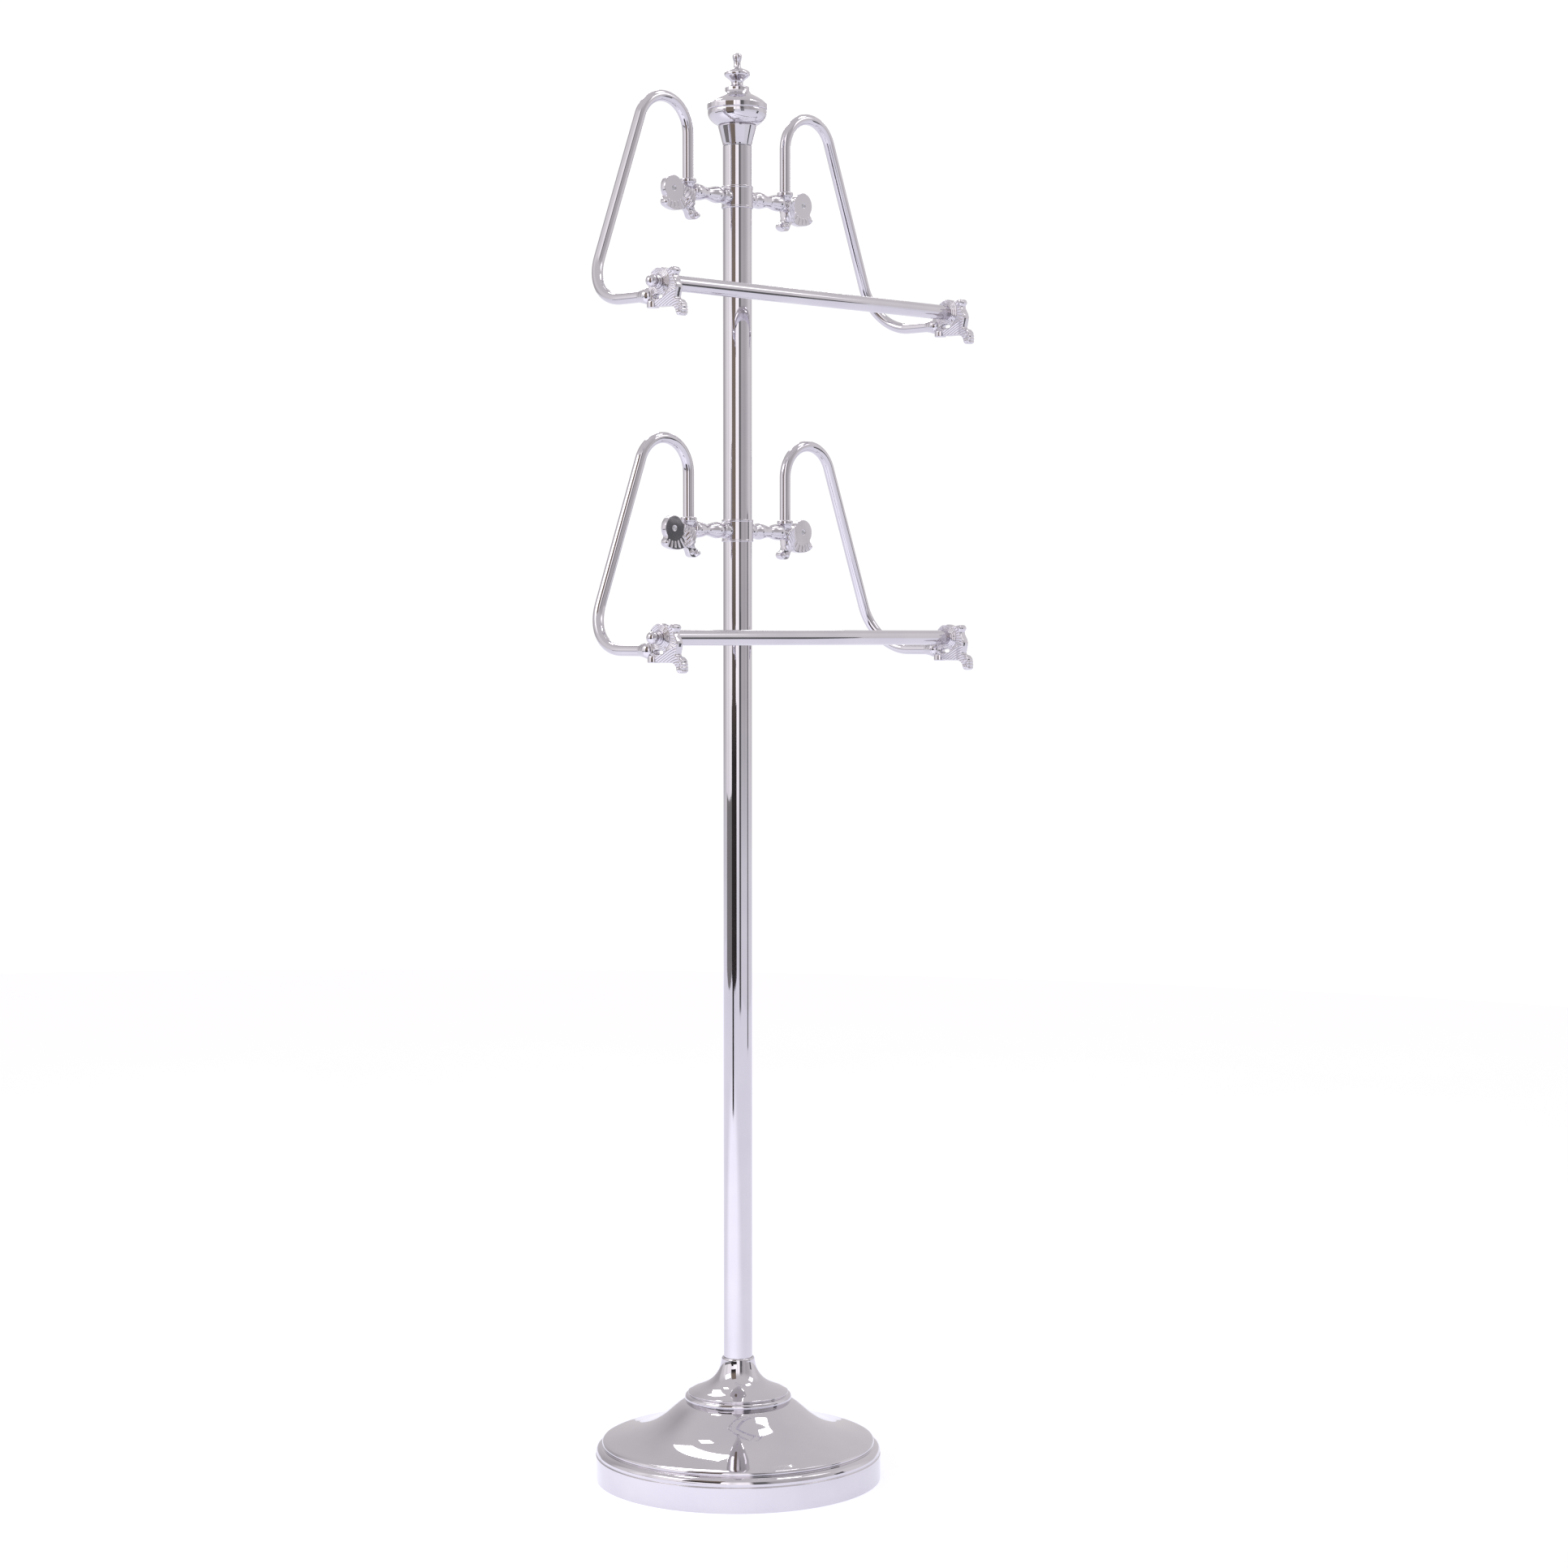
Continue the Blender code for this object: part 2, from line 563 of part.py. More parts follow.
def make_tier(tier, height, meshes):
    """One tier, hung from an empty on the post's axis at the spindle's height."""
    pivot = bpy.data.objects.new(tier + "_tier", None)
    parts.objects.link(pivot)
    pivot.location = (0.0, 0.0, height)
    pivot.empty_display_size = 0.05

    def place(piece, mesh_name, location=(0, 0, 0), rotation=(0, 0, 0)):
        name = f"{tier}_{piece}"
        mesh = meshes[mesh_name].copy()
        mesh.materials.clear()
        add_object(name, mesh, chrome(name), parts, location, rotation, pivot)

    quarter = 0.5 * math.pi
    place("collar", "collar")
    place("collar_screw", "set_screw", rotation=(-quarter, 0.0, 0.0))

    foot_x = arm_foot_x()
    reach = foot_x - 0.5 * CASTING_THICKNESS + BAR_SOCKET_DEPTH - GAP
    rod = disc_profile(BAR_RADIUS, reach, -reach)
    turned(f"{tier}_bar", rod, chrome(f"{tier}_bar"), parent=pivot, segments=24,
           location=(0.0, BAR_Y, -BAR_DROP), rotation=(0.0, quarter, 0.0))

    screw_y = -0.5 * CASTING_THICKNESS + SCREW_HOLE_DEPTH - GAP
    for side_name, side in SIDES.items():
        outward = side * quarter
        place(f"spindle_{side_name}", "spindle", rotation=(0.0, outward, 0.0))
        place(f"hub_{side_name}", "hub", (side * HUB_X, 0.0, 0.0))
        place(f"arm_{side_name}", f"arm_{side_name}")
        place(f"post_bracket_{side_name}", f"post_bracket_{side_name}", (side * HUB_X, 0.0, 0.0),
              (quarter, 0.0, 0.0))
        place(f"bracket_screw_{side_name}", "button",
              (side * (HUB_X + EYE_X), screw_y, EYE_Z), (quarter, 0.0, 0.0))
        place(f"connector_{side_name}", "connector", (side * foot_x, BALL_Y, -FOOT_DROP),
              (-quarter, 0.0, 0.0))
        place(f"bar_bracket_{side_name}", f"bar_bracket_{side_name}",
              (side * foot_x, BAR_Y, -BAR_DROP), (quarter, 0.0, -quarter))
        place(f"bar_knob_{side_name}", "knob", (side * foot_x, BAR_Y, -BAR_DROP),
              (0.0, outward, 0.0))


clear_scene()
parts = new_collection("towel_stand")
guides = new_collection("guides")
cutters = new_collection("cutters")
make_base()
make_post()
make_finial()
shared = make_shared_meshes()
for tier_name, tier_height in TIER_HEIGHTS.items():
    make_tier(tier_name, tier_height, shared)
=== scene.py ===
"""Looks for the two-tier towel stand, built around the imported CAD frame."""
import math

import bmesh
import bpy
import numpy as np
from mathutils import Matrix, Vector
from mathutils.geometry import delaunay_2d_cdt


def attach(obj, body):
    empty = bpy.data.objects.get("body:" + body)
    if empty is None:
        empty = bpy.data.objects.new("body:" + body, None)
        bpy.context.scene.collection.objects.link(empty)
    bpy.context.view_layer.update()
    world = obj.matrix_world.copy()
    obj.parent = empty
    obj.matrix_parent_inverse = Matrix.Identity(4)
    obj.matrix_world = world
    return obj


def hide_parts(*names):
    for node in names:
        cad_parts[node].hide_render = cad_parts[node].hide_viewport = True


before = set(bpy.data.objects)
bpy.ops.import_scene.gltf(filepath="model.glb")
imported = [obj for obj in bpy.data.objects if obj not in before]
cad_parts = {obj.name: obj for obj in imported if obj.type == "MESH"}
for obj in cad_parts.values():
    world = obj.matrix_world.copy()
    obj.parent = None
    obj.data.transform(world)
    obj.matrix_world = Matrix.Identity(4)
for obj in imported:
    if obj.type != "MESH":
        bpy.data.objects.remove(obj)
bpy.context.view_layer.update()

MM = 0.001
TIERS = {"upper": 1134.0, "lower": 842.5}
SIDES = {"left": -1.0, "right": 1.0}

# ---------------------------------------------------------------- dimensions (millimetres)
BASE_RADIUS = 127.0
POST_RADIUS = 12.7
POST_WALL = 1.2
POST_BOTTOM = 76.0
POST_TOP = 1179.0
POST_GAP = 0.3                     # hairline between two lengths of the post
COLLAR_OUTER = 14.0
COLLAR_HALF = 9.75
HUB_X = 60.7
ARM_RADIUS = 4.8
BOW_RADIUS = 29.7
BOW_HEIGHT = 48.3
HUB_TOP = 10.8                     # where an arm's straight foot meets its hub
ARM_SPLAY = math.radians(20.8)
FOOT_BEND = 41.4
FOOT_DROP = 104.5
BALL_Y = -73.8
BALL_RADIUS = 7.0
BALL_SLEEVE = 9.0
BAR_Y = -89.8
BAR_DROP = 94.0
BAR_RADIUS = 6.5
BAR_SEAT = 4.6                     # how far a bar's end sinks into its casting
KNOB_RADIUS = 5.3
KNOB_REACH = 11.0
CASTING_HALF = 3.6                 # half of a bar casting's thickness
EYE_X = 20.3
EYE_Z = 0.5

# ---------------------------------------------------------------- camera and floor
CAMERA_AZIMUTH = math.radians(-46.384)
CAMERA_PITCH = math.radians(2.6326)
CAMERA_DISTANCE = 2866.24 * MM
CAMERA_SIDE = -40.94 * MM          # post's offset from the optical axis
CAMERA_HEIGHT = 750.92 * MM
SENSOR = 36.0
LENS = 74.47
FLOOR_RADIUS = 4.4                 # metres
FLOOR_SHIFT = -0.8                 # floor's centre, metres toward the picture's right


# ---------------------------------------------------------------- materials
def node_material(name, color, metallic, roughness):
    mat = bpy.data.materials.new(name)
    mat.use_nodes = True
    shader = mat.node_tree.nodes["Principled BSDF"]
    shader.inputs["Base Color"].default_value = (*color, 1.0)
    shader.inputs["Metallic"].default_value = metallic
    shader.inputs["Roughness"].default_value = roughness
    return mat, mat.node_tree, shader


def add_node(tree, kind, **values):
    node = tree.nodes.new(kind)
    for key, value in values.items():
        if hasattr(node, key):
            setattr(node, key, value)
        else:
            node.inputs[key.replace("_", " ")].default_value = value
    return node


def noise(tree, scale, detail=3.0):
    place = add_node(tree, "ShaderNodeTexCoord")
    texture = add_node(tree, "ShaderNodeTexNoise", Scale=scale, Detail=detail)
    tree.links.new(place.outputs["Object"], texture.inputs["Vector"])
    return texture


def map_range(tree, source, before, after=(0.0, 1.0), smooth=False):
    """Output that carries the range before to the range after."""
    shape = "SMOOTHSTEP" if smooth else "LINEAR"
    node = add_node(tree, "ShaderNodeMapRange", interpolation_type=shape)
    for socket, value in zip(("From Min", "From Max", "To Min", "To Max"), (*before, *after)):
        node.inputs[socket].default_value = value
    tree.links.new(source, node.inputs["Value"])
    return node.outputs["Result"]


def roughness_from(tree, shader, texture, low, high):
    rough = map_range(tree, texture.outputs["Fac"], (0.3, 0.7), (low, high))
    tree.links.new(rough, shader.inputs["Roughness"])


def bump_from(tree, shader, texture, strength, distance):
    bump = add_node(tree, "ShaderNodeBump", Strength=strength, Distance=distance)
    tree.links.new(texture.outputs["Fac"], bump.inputs["Height"])
    tree.links.new(bump.outputs["Normal"], shader.inputs["Normal"])


def tint_from(tree, shader, texture, dark, light):
    ramp = add_node(tree, "ShaderNodeValToRGB")
    ramp.color_ramp.elements[0].position = 0.35
    ramp.color_ramp.elements[0].color = (*dark, 1.0)
    ramp.color_ramp.elements[1].position = 0.65
    ramp.color_ramp.elements[1].color = (*light, 1.0)
    tree.links.new(texture.outputs["Fac"], ramp.inputs["Fac"])
    tree.links.new(ramp.outputs["Color"], shader.inputs["Base Color"])


CHROME_TINT = (0.64, 0.62, 0.66)


def chrome_material(name, waviness=0.008, polish=(0.015, 0.045)):
    """Bright plate: a little haze that varies, and the slow waviness of buffed metal."""
    mat, tree, shader = node_material(name, CHROME_TINT, 1.0, 0.03)
    roughness_from(tree, shader, noise(tree, 55.0, 4.0), *polish)
    tint_from(tree, shader, noise(tree, 22.0), (0.625, 0.605, 0.648), (0.655, 0.635, 0.672))
    bump_from(tree, shader, noise(tree, 38.0, 1.0), waviness, 0.002)
    return mat


def steel_material():
    mat, tree, shader = node_material("machined_steel", (0.5, 0.5, 0.52), 1.0, 0.35)
    roughness_from(tree, shader, noise(tree, 400.0), 0.28, 0.45)
    tint_from(tree, shader, noise(tree, 120.0), (0.42, 0.42, 0.44), (0.58, 0.58, 0.59))
    bump_from(tree, shader, noise(tree, 900.0), 0.2, 0.0002)
    return mat


def iron_material():
    mat, tree, shader = node_material("cast_iron", (0.06, 0.06, 0.06), 0.4, 0.6)
    roughness_from(tree, shader, noise(tree, 300.0), 0.5, 0.8)
    tint_from(tree, shader, noise(tree, 60.0), (0.04, 0.04, 0.042), (0.09, 0.085, 0.08))
    bump_from(tree, shader, noise(tree, 500.0, 6.0), 0.6, 0.001)
    return mat


def rubber_material():
    mat, tree, shader = node_material("floor_rubber", (0.03, 0.03, 0.03), 0.0, 0.8)
    roughness_from(tree, shader, noise(tree, 500.0), 0.7, 0.9)
    tint_from(tree, shader, noise(tree, 80.0), (0.022, 0.022, 0.023), (0.04, 0.04, 0.041))
    bump_from(tree, shader, noise(tree, 1500.0), 0.4, 0.0002)
    return mat


# ---------------------------------------------------------------- mesh helpers
def piece(name, mesh, body, slot, mat, *nodes):
    obj = bpy.data.objects.new(name, mesh)
    bpy.context.scene.collection.objects.link(obj)
    mesh.materials.append(mat)
    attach(obj, body)
    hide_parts(*nodes)
    return obj


def mesh_of(name, verts, faces, angle=40.0):
    """Mesh in metres from millimetre points, welded, facing outward and shaded smooth."""
    mesh = bpy.data.meshes.new(name)
    mesh.from_pydata([(x * MM, y * MM, z * MM) for x, y, z in verts], [], faces)
    bm = bmesh.new()
    bm.from_mesh(mesh)
    bmesh.ops.remove_doubles(bm, verts=bm.verts, dist=0.004 * MM)
    bmesh.ops.recalc_face_normals(bm, faces=bm.faces)
    bm.to_mesh(mesh)
    bm.free()
    mesh.shade_smooth()
    mesh.set_sharp_from_angle(angle=math.radians(angle))
    return mesh


FILLET = 0.35
CURVE = 99.0                       # a fillet as large as its neighbours allow
CURVE_STEP = 0.9                   # longest step along a curved run
LONG_SPAN = 1.2                    # straight runs longer than this get a support ring
SUPPORT = 0.12                     # at each end, which keeps their shading flat


def soften(points, steps=6, closed=False):
    """Round each corner of a profile; a point is (radius, height) or (radius, height, fillet)."""
    count = len(points)
    result = []
    for index, point in enumerate(points):
        here = np.array(point[:2], float)
        fillet = point[2] if len(point) > 2 else FILLET
        if not closed and index in (0, count - 1):
            result.append(here)
            continue
        before = np.array(points[index - 1][:2], float)
        after = np.array(points[(index + 1) % count][:2], float)
        reach_before = min(fillet, 0.5 * np.linalg.norm(before - here))
        reach_after = min(fillet, 0.5 * np.linalg.norm(after - here))
        start = here + (before - here) / np.linalg.norm(before - here) * reach_before
        end = here + (after - here) / np.linalg.norm(after - here) * reach_after
        pieces = max(steps, math.ceil((reach_before + reach_after) / CURVE_STEP))
        for step in range(pieces + 1):
            t = step / pieces
            result.append((1 - t) ** 2 * start + 2 * t * (1 - t) * here + t ** 2 * end)
    kept = [result[0]]
    for point in result[1:]:
        gap = np.linalg.norm(point - kept[-1])
        if gap < 0.01:
            continue
        if gap > LONG_SPAN:
            inward = (point - kept[-1]) / gap * SUPPORT
            kept += [kept[-1] + inward, point - inward]
        kept.append(point)
    return kept


def curved(points):
    return [(radius, height, CURVE) for radius, height in points]


def revolve(profile, segments=96, closed=False):
    """Vertices and faces of a profile turned about Z; ends on the axis close by themselves."""
    verts, rows = [], []
    for radius, height in profile:
        if radius < 0.005:
            rows.append([len(verts)] * segments)
            verts.append((0.0, 0.0, height))
            continue
        rows.append(list(range(len(verts), len(verts) + segments)))
        for index in range(segments):
            angle = 2.0 * math.pi * index / segments
            verts.append((radius * math.cos(angle), radius * math.sin(angle), height))
    faces = []
    pairs = list(zip(rows, rows[1:]))
    if closed:
        pairs.append((rows[-1], rows[0]))
    for upper, lower in pairs:
        for index in range(segments):
            nxt = (index + 1) % segments
            corners = [upper[index], upper[nxt], lower[nxt], lower[index]]
            unique = list(dict.fromkeys(corners))
            if len(unique) > 2:
                faces.append(unique)
    return verts, faces


def lathe(name, points, segments=96, closed=False, place=None, steps=6):
    verts, faces = revolve(soften(points, steps, closed), segments, closed)
    if place is not None:
        verts = [place(*vert) for vert in verts]
    return mesh_of(name, verts, faces)


def sweep(route, radius, sides=32):
    """Round tube with flat end caps along a dense route."""
    route = [Vector(point) for point in route]
    tangents = []
    for index in range(len(route)):
        ahead = route[min(index + 1, len(route) - 1)]
        behind = route[max(index - 1, 0)]
        tangents.append((ahead - behind).normalized())
    side = tangents[0].orthogonal().normalized()
    verts, rows = [], []
    rims = [(route[0], tangents[0], 0.0)]
    rims += [(point, tangent, radius) for point, tangent in zip(route, tangents)]
    rims += [(route[-1], tangents[-1], 0.0)]
    for point, tangent, size in rims:
        side = (side - tangent * side.dot(tangent)).normalized()
        other = tangent.cross(side)
        rows.append(list(range(len(verts), len(verts) + sides)))
        for index in range(sides):
            angle = 2.0 * math.pi * index / sides
            verts.append(tuple(point + (side * math.cos(angle) + other * math.sin(angle)) * size))
    faces = []
    for first, second in zip(rows, rows[1:]):
        for index in range(sides):
            nxt = (index + 1) % sides
            faces.append([first[index], first[nxt], second[nxt], second[index]])
    return verts, faces


# ---------------------------------------------------------------- base, post and finial
def build_base(chrome, rubber):
    flare = curved([(52.0, 67.0), (58.5, 62.0), (67.0, 54.6), (78.0, 47.4), (92.0, 41.6),
                    (107.0, 37.8)])
    rim = [(117.6, 35.6, 1.2), (120.4, 34.7, 0.8), (121.4, 32.8, 0.8), (120.7, 30.6, 0.5)]
    ovolo = [(122.8, 30.2, 0.5), (125.6, 28.6, 1.6), (126.9, 25.4, 0.9), (126.0, 23.2, 0.4)]
    wall = [(BASE_RADIUS, 22.4, 0.3), (BASE_RADIUS, 0.6, 0.3)]
    inside = [(125.2, 0.6), (125.2, 22.0), (119.0, 32.4, 2.0), (92.0, 39.6, CURVE),
              (67.0, 52.4, CURVE), (47.0, 67.3, 2.0), (14.2, 67.4)]
    cover = [(14.2, 69.2), (47.0, 69.2, 1.0)] + flare + rim + ovolo + wall + inside
    piece("base_cover_plate", lathe("base_cover_plate", cover, 224, True), "stand",
          "chrome_plate", chrome, "base_cover")

    bell = [(12.8, 108.4), (13.9, 108.4, 0.4), (14.7, 107.4, 0.8), (15.0, 104.5, CURVE),
            (15.9, 100.4, CURVE), (17.5, 96.3, CURVE), (20.1, 92.1, CURVE),
            (23.6, 88.3, CURVE), (28.2, 85.1, CURVE), (34.0, 82.4, CURVE), (39.2, 80.4, CURVE)]
    beads = [(42.0, 78.9, 1.5), (44.9, 77.4, 1.0), (44.2, 75.8, 0.4), (46.6, 75.0, 0.8),
             (47.9, 72.8, 1.4), (47.0, 70.2, 0.6), (46.6, 69.0)]
    inside = [(42.0, 69.0), (36.0, 75.4, 3.0), (17.0, 88.0, 3.0), (12.8, 97.0)]
    neck = lathe("base_neck_plate", bell + beads + inside, 160, True)
    piece("base_neck_plate", neck, "stand", "chrome_plate", chrome, "base_neck")

    pad = [(0.0, 2.0), (124.0, 2.0), (124.5, 1.5), (124.5, 0.5), (124.0, 0.0)]
    for groove in (118.0, 104.0, 90.0, 76.0, 62.0, 48.0, 34.0, 20.0):
        pad += [(groove + 1.6, 0.0, 0.2), (groove + 0.9, 0.8, 0.2), (groove - 0.9, 0.8, 0.2),
                (groove - 1.6, 0.0, 0.2)]
    pad += [(0.0, 0.0)]
    piece("base_pad_rubber", lathe("base_pad_rubber", pad, 128), "stand", "floor_pad", rubber,
          "base_pad")


def build_post(chrome):
    joints = [POST_BOTTOM, TIERS["lower"], TIERS["upper"], POST_TOP]
    inner = POST_RADIUS - POST_WALL
    for name, low, high in zip(("lower", "middle", "upper"), joints, joints[1:]):
        high -= POST_GAP
        tube = [(POST_RADIUS, high, 0.25), (POST_RADIUS, low, 0.25), (inner, low), (inner, high)]
        piece(f"post_tube_{name}", lathe(f"post_tube_{name}", tube, 128, True), "stand",
              "chrome_plate", chrome, f"post_{name}")


def build_finial(chrome):
    """Cone, bowl, band, dome and knob, each a hair above the one below."""
    cone = [(0.0, 1197.0), (16.0, 1197.0), (17.0, 1196.2, 0.6), (16.7, 1195.0, 0.4),
            (12.9, 1180.4, 0.5), (12.7, 1179.0, 0.4), (0.0, 1179.0)]
    bowl = [(0.0, 1210.3), (25.6, 1210.3, 0.2), (26.1, 1208.6, 1.5), (25.7, 1205.3, CURVE),
            (24.2, 1202.2, CURVE), (21.4, 1199.3, CURVE), (18.6, 1197.6, 0.8), (16.6, 1196.9)]
    bowl += [(0.0, 1196.9)]
    band = [(0.0, 1215.5), (25.9, 1215.5, 0.3), (26.4, 1214.9, 0.4), (26.4, 1210.8, 0.4),
            (26.0, 1210.2, 0.2), (0.0, 1210.2)]
    dome = [(0.0, 1230.3), (9.8, 1230.3, 0.4), (10.7, 1229.5, 0.5), (10.7, 1226.8, 1.2),
            (12.0, 1224.3, CURVE), (14.6, 1222.9, CURVE), (20.2, 1220.0, CURVE),
            (24.2, 1217.2, CURVE), (25.7, 1215.4, 0.2), (0.0, 1215.4)]
    knob = [(0.0, 1259.5), (2.2, 1259.5, CURVE), (4.2, 1258.0, CURVE), (4.1, 1255.0, CURVE),
            (3.0, 1252.0, CURVE), (2.9, 1248.8, CURVE), (3.6, 1246.6, 0.8), (7.4, 1245.2, 1.5),
            (11.2, 1243.2, CURVE), (11.6, 1240.2, 2.0), (8.9, 1238.0, CURVE),
            (5.6, 1235.6, CURVE), (4.8, 1232.6, CURVE), (6.4, 1230.2, 0.3), (0.0, 1230.2)]
    for name, profile in (("cone", cone), ("bowl", bowl), ("rim", band), ("dome", dome),
                          ("knob", knob)):
        mesh = lathe(f"finial_{name}_plate", profile, 128)
        piece(f"finial_{name}_plate", mesh, "stand", "chrome_plate", chrome, f"finial_{name}")


# ---------------------------------------------------------------- arms and bars
def arm_route(side, height):
    """Dense centre line of one arm, the same route as the CAD arm's."""
    centre_x = HUB_X + BOW_RADIUS
    points = [Vector((HUB_X, 0.0, HUB_TOP + (BOW_HEIGHT - HUB_TOP) * step / 6.0))
              for step in range(6)]
    bow_steps = 72
    for step in range(bow_steps + 1):
        angle = math.pi - (math.pi - ARM_SPLAY) * step / bow_steps
        points.append(Vector((centre_x + BOW_RADIUS * math.cos(angle), 0.0,
                              BOW_HEIGHT + BOW_RADIUS * math.sin(angle))))
    lean = Vector((math.sin(ARM_SPLAY), 0.0, -math.cos(ARM_SPLAY)))
    forward = Vector((0.0, -1.0, 0.0))
    corner = points[-1] + lean * ((points[-1].z + FOOT_DROP) / math.cos(ARM_SPLAY))
    bow_end = points[-1]
    bend_start = corner - lean * FOOT_BEND
    for step in range(1, 10):
        points.append(bow_end.lerp(bend_start, step / 10.0))
    bend_steps = 48
    for step in range(bend_steps + 1):
        angle = 0.5 * math.pi * step / bend_steps
        points.append(bend_start + lean * (FOOT_BEND * math.sin(angle))
                      + forward * (FOOT_BEND * (1.0 - math.cos(angle))))
    end = Vector((corner.x, BALL_Y + BALL_SLEEVE - 1.0, -FOOT_DROP))
    start = points[-1]
    points += [start.lerp(end, step / 3.0) for step in (1, 2, 3)]
    return [(side * point.x, point.y, point.z + height) for point in points]


FOOT_X = abs(arm_route(1.0, 0.0)[-1][0])


def build_arm(tier, side_name, chrome):
    verts, faces = sweep(arm_route(SIDES[side_name], TIERS[tier]), ARM_RADIUS)
    name = f"{tier}_arm_{side_name}_tube"
    piece(name, mesh_of(name, verts, faces), f"{tier}_tier", "chrome_plate", chrome,
          f"{tier}_arm_{side_name}")


def build_bar(tier, chrome):
    reach = FOOT_X - CASTING_HALF + BAR_SEAT
    level = TIERS[tier] - BAR_DROP
    profile = [(0.0, reach), (BAR_RADIUS, reach, 0.5)]
    profile += [(BAR_RADIUS, reach * (1.0 - step / 12.0)) for step in range(1, 24)]
    profile += [(BAR_RADIUS, -reach, 0.5), (0.0, -reach)]
    name = f"{tier}_bar_tube"
    mesh = lathe(name, profile, 96, place=lambda x, y, z: (z, BAR_Y + x, level + y))
    piece(name, mesh, f"{tier}_tier", "chrome_plate", chrome, f"{tier}_bar")


# ---------------------------------------------------------------- ornamental castings
WING = [(9.0, 9.4), (12.3, 10.7), (14.3, 11.3), (16.8, 11.2), (18.6, 9.6), (18.5, 7.0),
        (16.7, 5.0)]
BELLY = [(17.6, 2.2), (19.6, -0.8), (20.9, -3.8), (20.6, -7.4), (19.6, -11.4), (18.8, -14.6)]
SCROLL_FOOT = [(21.6, -15.6), (24.8, -16.7), (26.5, -19.4), (27.0, -23.6), (26.9, -27.6),
               (25.4, -29.3), (22.2, -29.4), (20.2, -27.6), (19.8, -24.8)]
ARCH = [(18.0, -22.3), (15.2, -20.8)]
SOLE = -20.6
STRAND_ANGLE = math.radians(28.0)
STRAND_PITCH = 1.95
LOBE_ANGLE = math.radians(9.0)
PETALS = 9.0
RIPPLE_PITCH = 1.6
ROSETTE_INNER, ROSETTE_OUTER = 5.6, 12.2
RINGS_INNER, RINGS_OUTER = 7.2, 11.6    # about the ball, on a bar casting's face
OPEN = 99.0                        # a limit that no point reaches
GRID = 0.36
EDGE = 0.8                         # rounding of the bar castings' edges
POST_EDGE = 0.4
POST_STRAND_PITCH = 2.7
POST_LOBE_ANGLE = math.radians(17.0)
# Post casting's edge, outboard of and above its eye: wing, belly, scroll foot, hub side.
POST_WING = [(8.8, -8.8), (10.6, -10.2), (11.3, -12.4), (10.7, -14.6), (9.2, -15.8)]
POST_BELLY = [(6.5, -17.0), (3.0, -18.0), (-1.5, -18.6), (-6.0, -18.5), (-10.0, -17.6),
              (-12.6, -16.5)]
POST_FOOT = [(-15.2, -17.2), (-17.0, -19.2), (-18.2, -22.8), (-20.2, -24.6), (-23.4, -25.0),
             (-26.8, -24.6), (-29.4, -23.2), (-30.5, -20.9), (-29.4, -18.6), (-27.0, -17.6),
             (-24.8, -16.2)]
POST_HUB_SIDE = [(-23.9, -13.4), (-24.0, -9.0), (-24.2, -4.0), (-23.6, 0.6), (-21.0, 2.2),
                 (-17.0, 2.6), (-13.0, 3.4)]
DISC_RADIUS = 10.9
POST_BACK = 2.2                    # post casting's back face behind the hub's middle plane


def resample(points, spacing):
    points = np.array(points)
    loop = np.vstack([points, points[:1]])
    lengths = np.linalg.norm(np.diff(loop, axis=0), axis=1)
    along = np.concatenate([[0.0], np.cumsum(lengths)])
    count = int(along[-1] / spacing)
    wanted = np.linspace(0.0, along[-1], count, endpoint=False)
    return np.stack([np.interp(wanted, along, loop[:, 0]), np.interp(wanted, along, loop[:, 1])], 1)


def outward_normals(loop):
    tangent = np.roll(loop, -1, 0) - np.roll(loop, 1, 0)
    tangent /= np.linalg.norm(tangent, axis=1)[:, None]
    area = 0.5 * np.sum(loop[:, 0] * np.roll(loop[:, 1], -1) - loop[:, 1] * np.roll(loop[:, 0], -1))
    sign = 1.0 if area > 0 else -1.0
    return np.stack([tangent[:, 1], -tangent[:, 0]], 1) * sign


def inside(points, loop):
    """Even-odd test of points against one closed loop."""
    x, y = points[:, 0][:, None], points[:, 1][:, None]
    ax, ay = loop[:, 0][None], loop[:, 1][None]
    bx, by = np.roll(loop[:, 0], -1)[None], np.roll(loop[:, 1], -1)[None]
    spans = (ay > y) != (by > y)
    slope = np.where(by == ay, 1e-12, by - ay)
    return (np.sum(spans & (x < (bx - ax) * (y - ay) / slope + ax), axis=1) % 2) == 1


def within(points, loops):
    """Inside the first loop and outside the others, which are holes."""
    result = inside(points, loops[0])
    for hole in loops[1:]:
        result &= ~inside(points, hole)
    return result


def edge_distance(points, loops):
    edge = np.vstack(loops)
    best = np.full(len(points), 1e9)
    for start in range(0, len(points), 2000):
        block = points[start:start + 2000]
        gap = np.linalg.norm(block[:, None] - edge[None], axis=2)
        best[start:start + 2000] = gap.min(axis=1)
    return best


def ridge(phase):
    """Rounded ridges, one for each half turn of phase, from 0 to 1."""
    return 0.5 - 0.5 * np.cos(2.0 * phase)


def window(value, low, high, soft=0.6):
    rise = np.clip((value - low) / soft, 0.0, 1.0)
    fall = np.clip((high - value) / soft, 0.0, 1.0)
    level = np.minimum(rise, fall)
    return level * level * (3.0 - 2.0 * level)


def strand_phase(p, q):
    """Cords that run up toward the belly, bending down into the foot."""
    bend = 0.020 * np.clip(p - 12.0, 0.0, 20.0) ** 2
    across = -math.sin(STRAND_ANGLE) * p + math.cos(STRAND_ANGLE) * (q + bend)
    return math.pi * across / STRAND_PITCH


def lobe_phase(p, q):
    return np.arctan2(q, p) / LOBE_ANGLE * math.pi


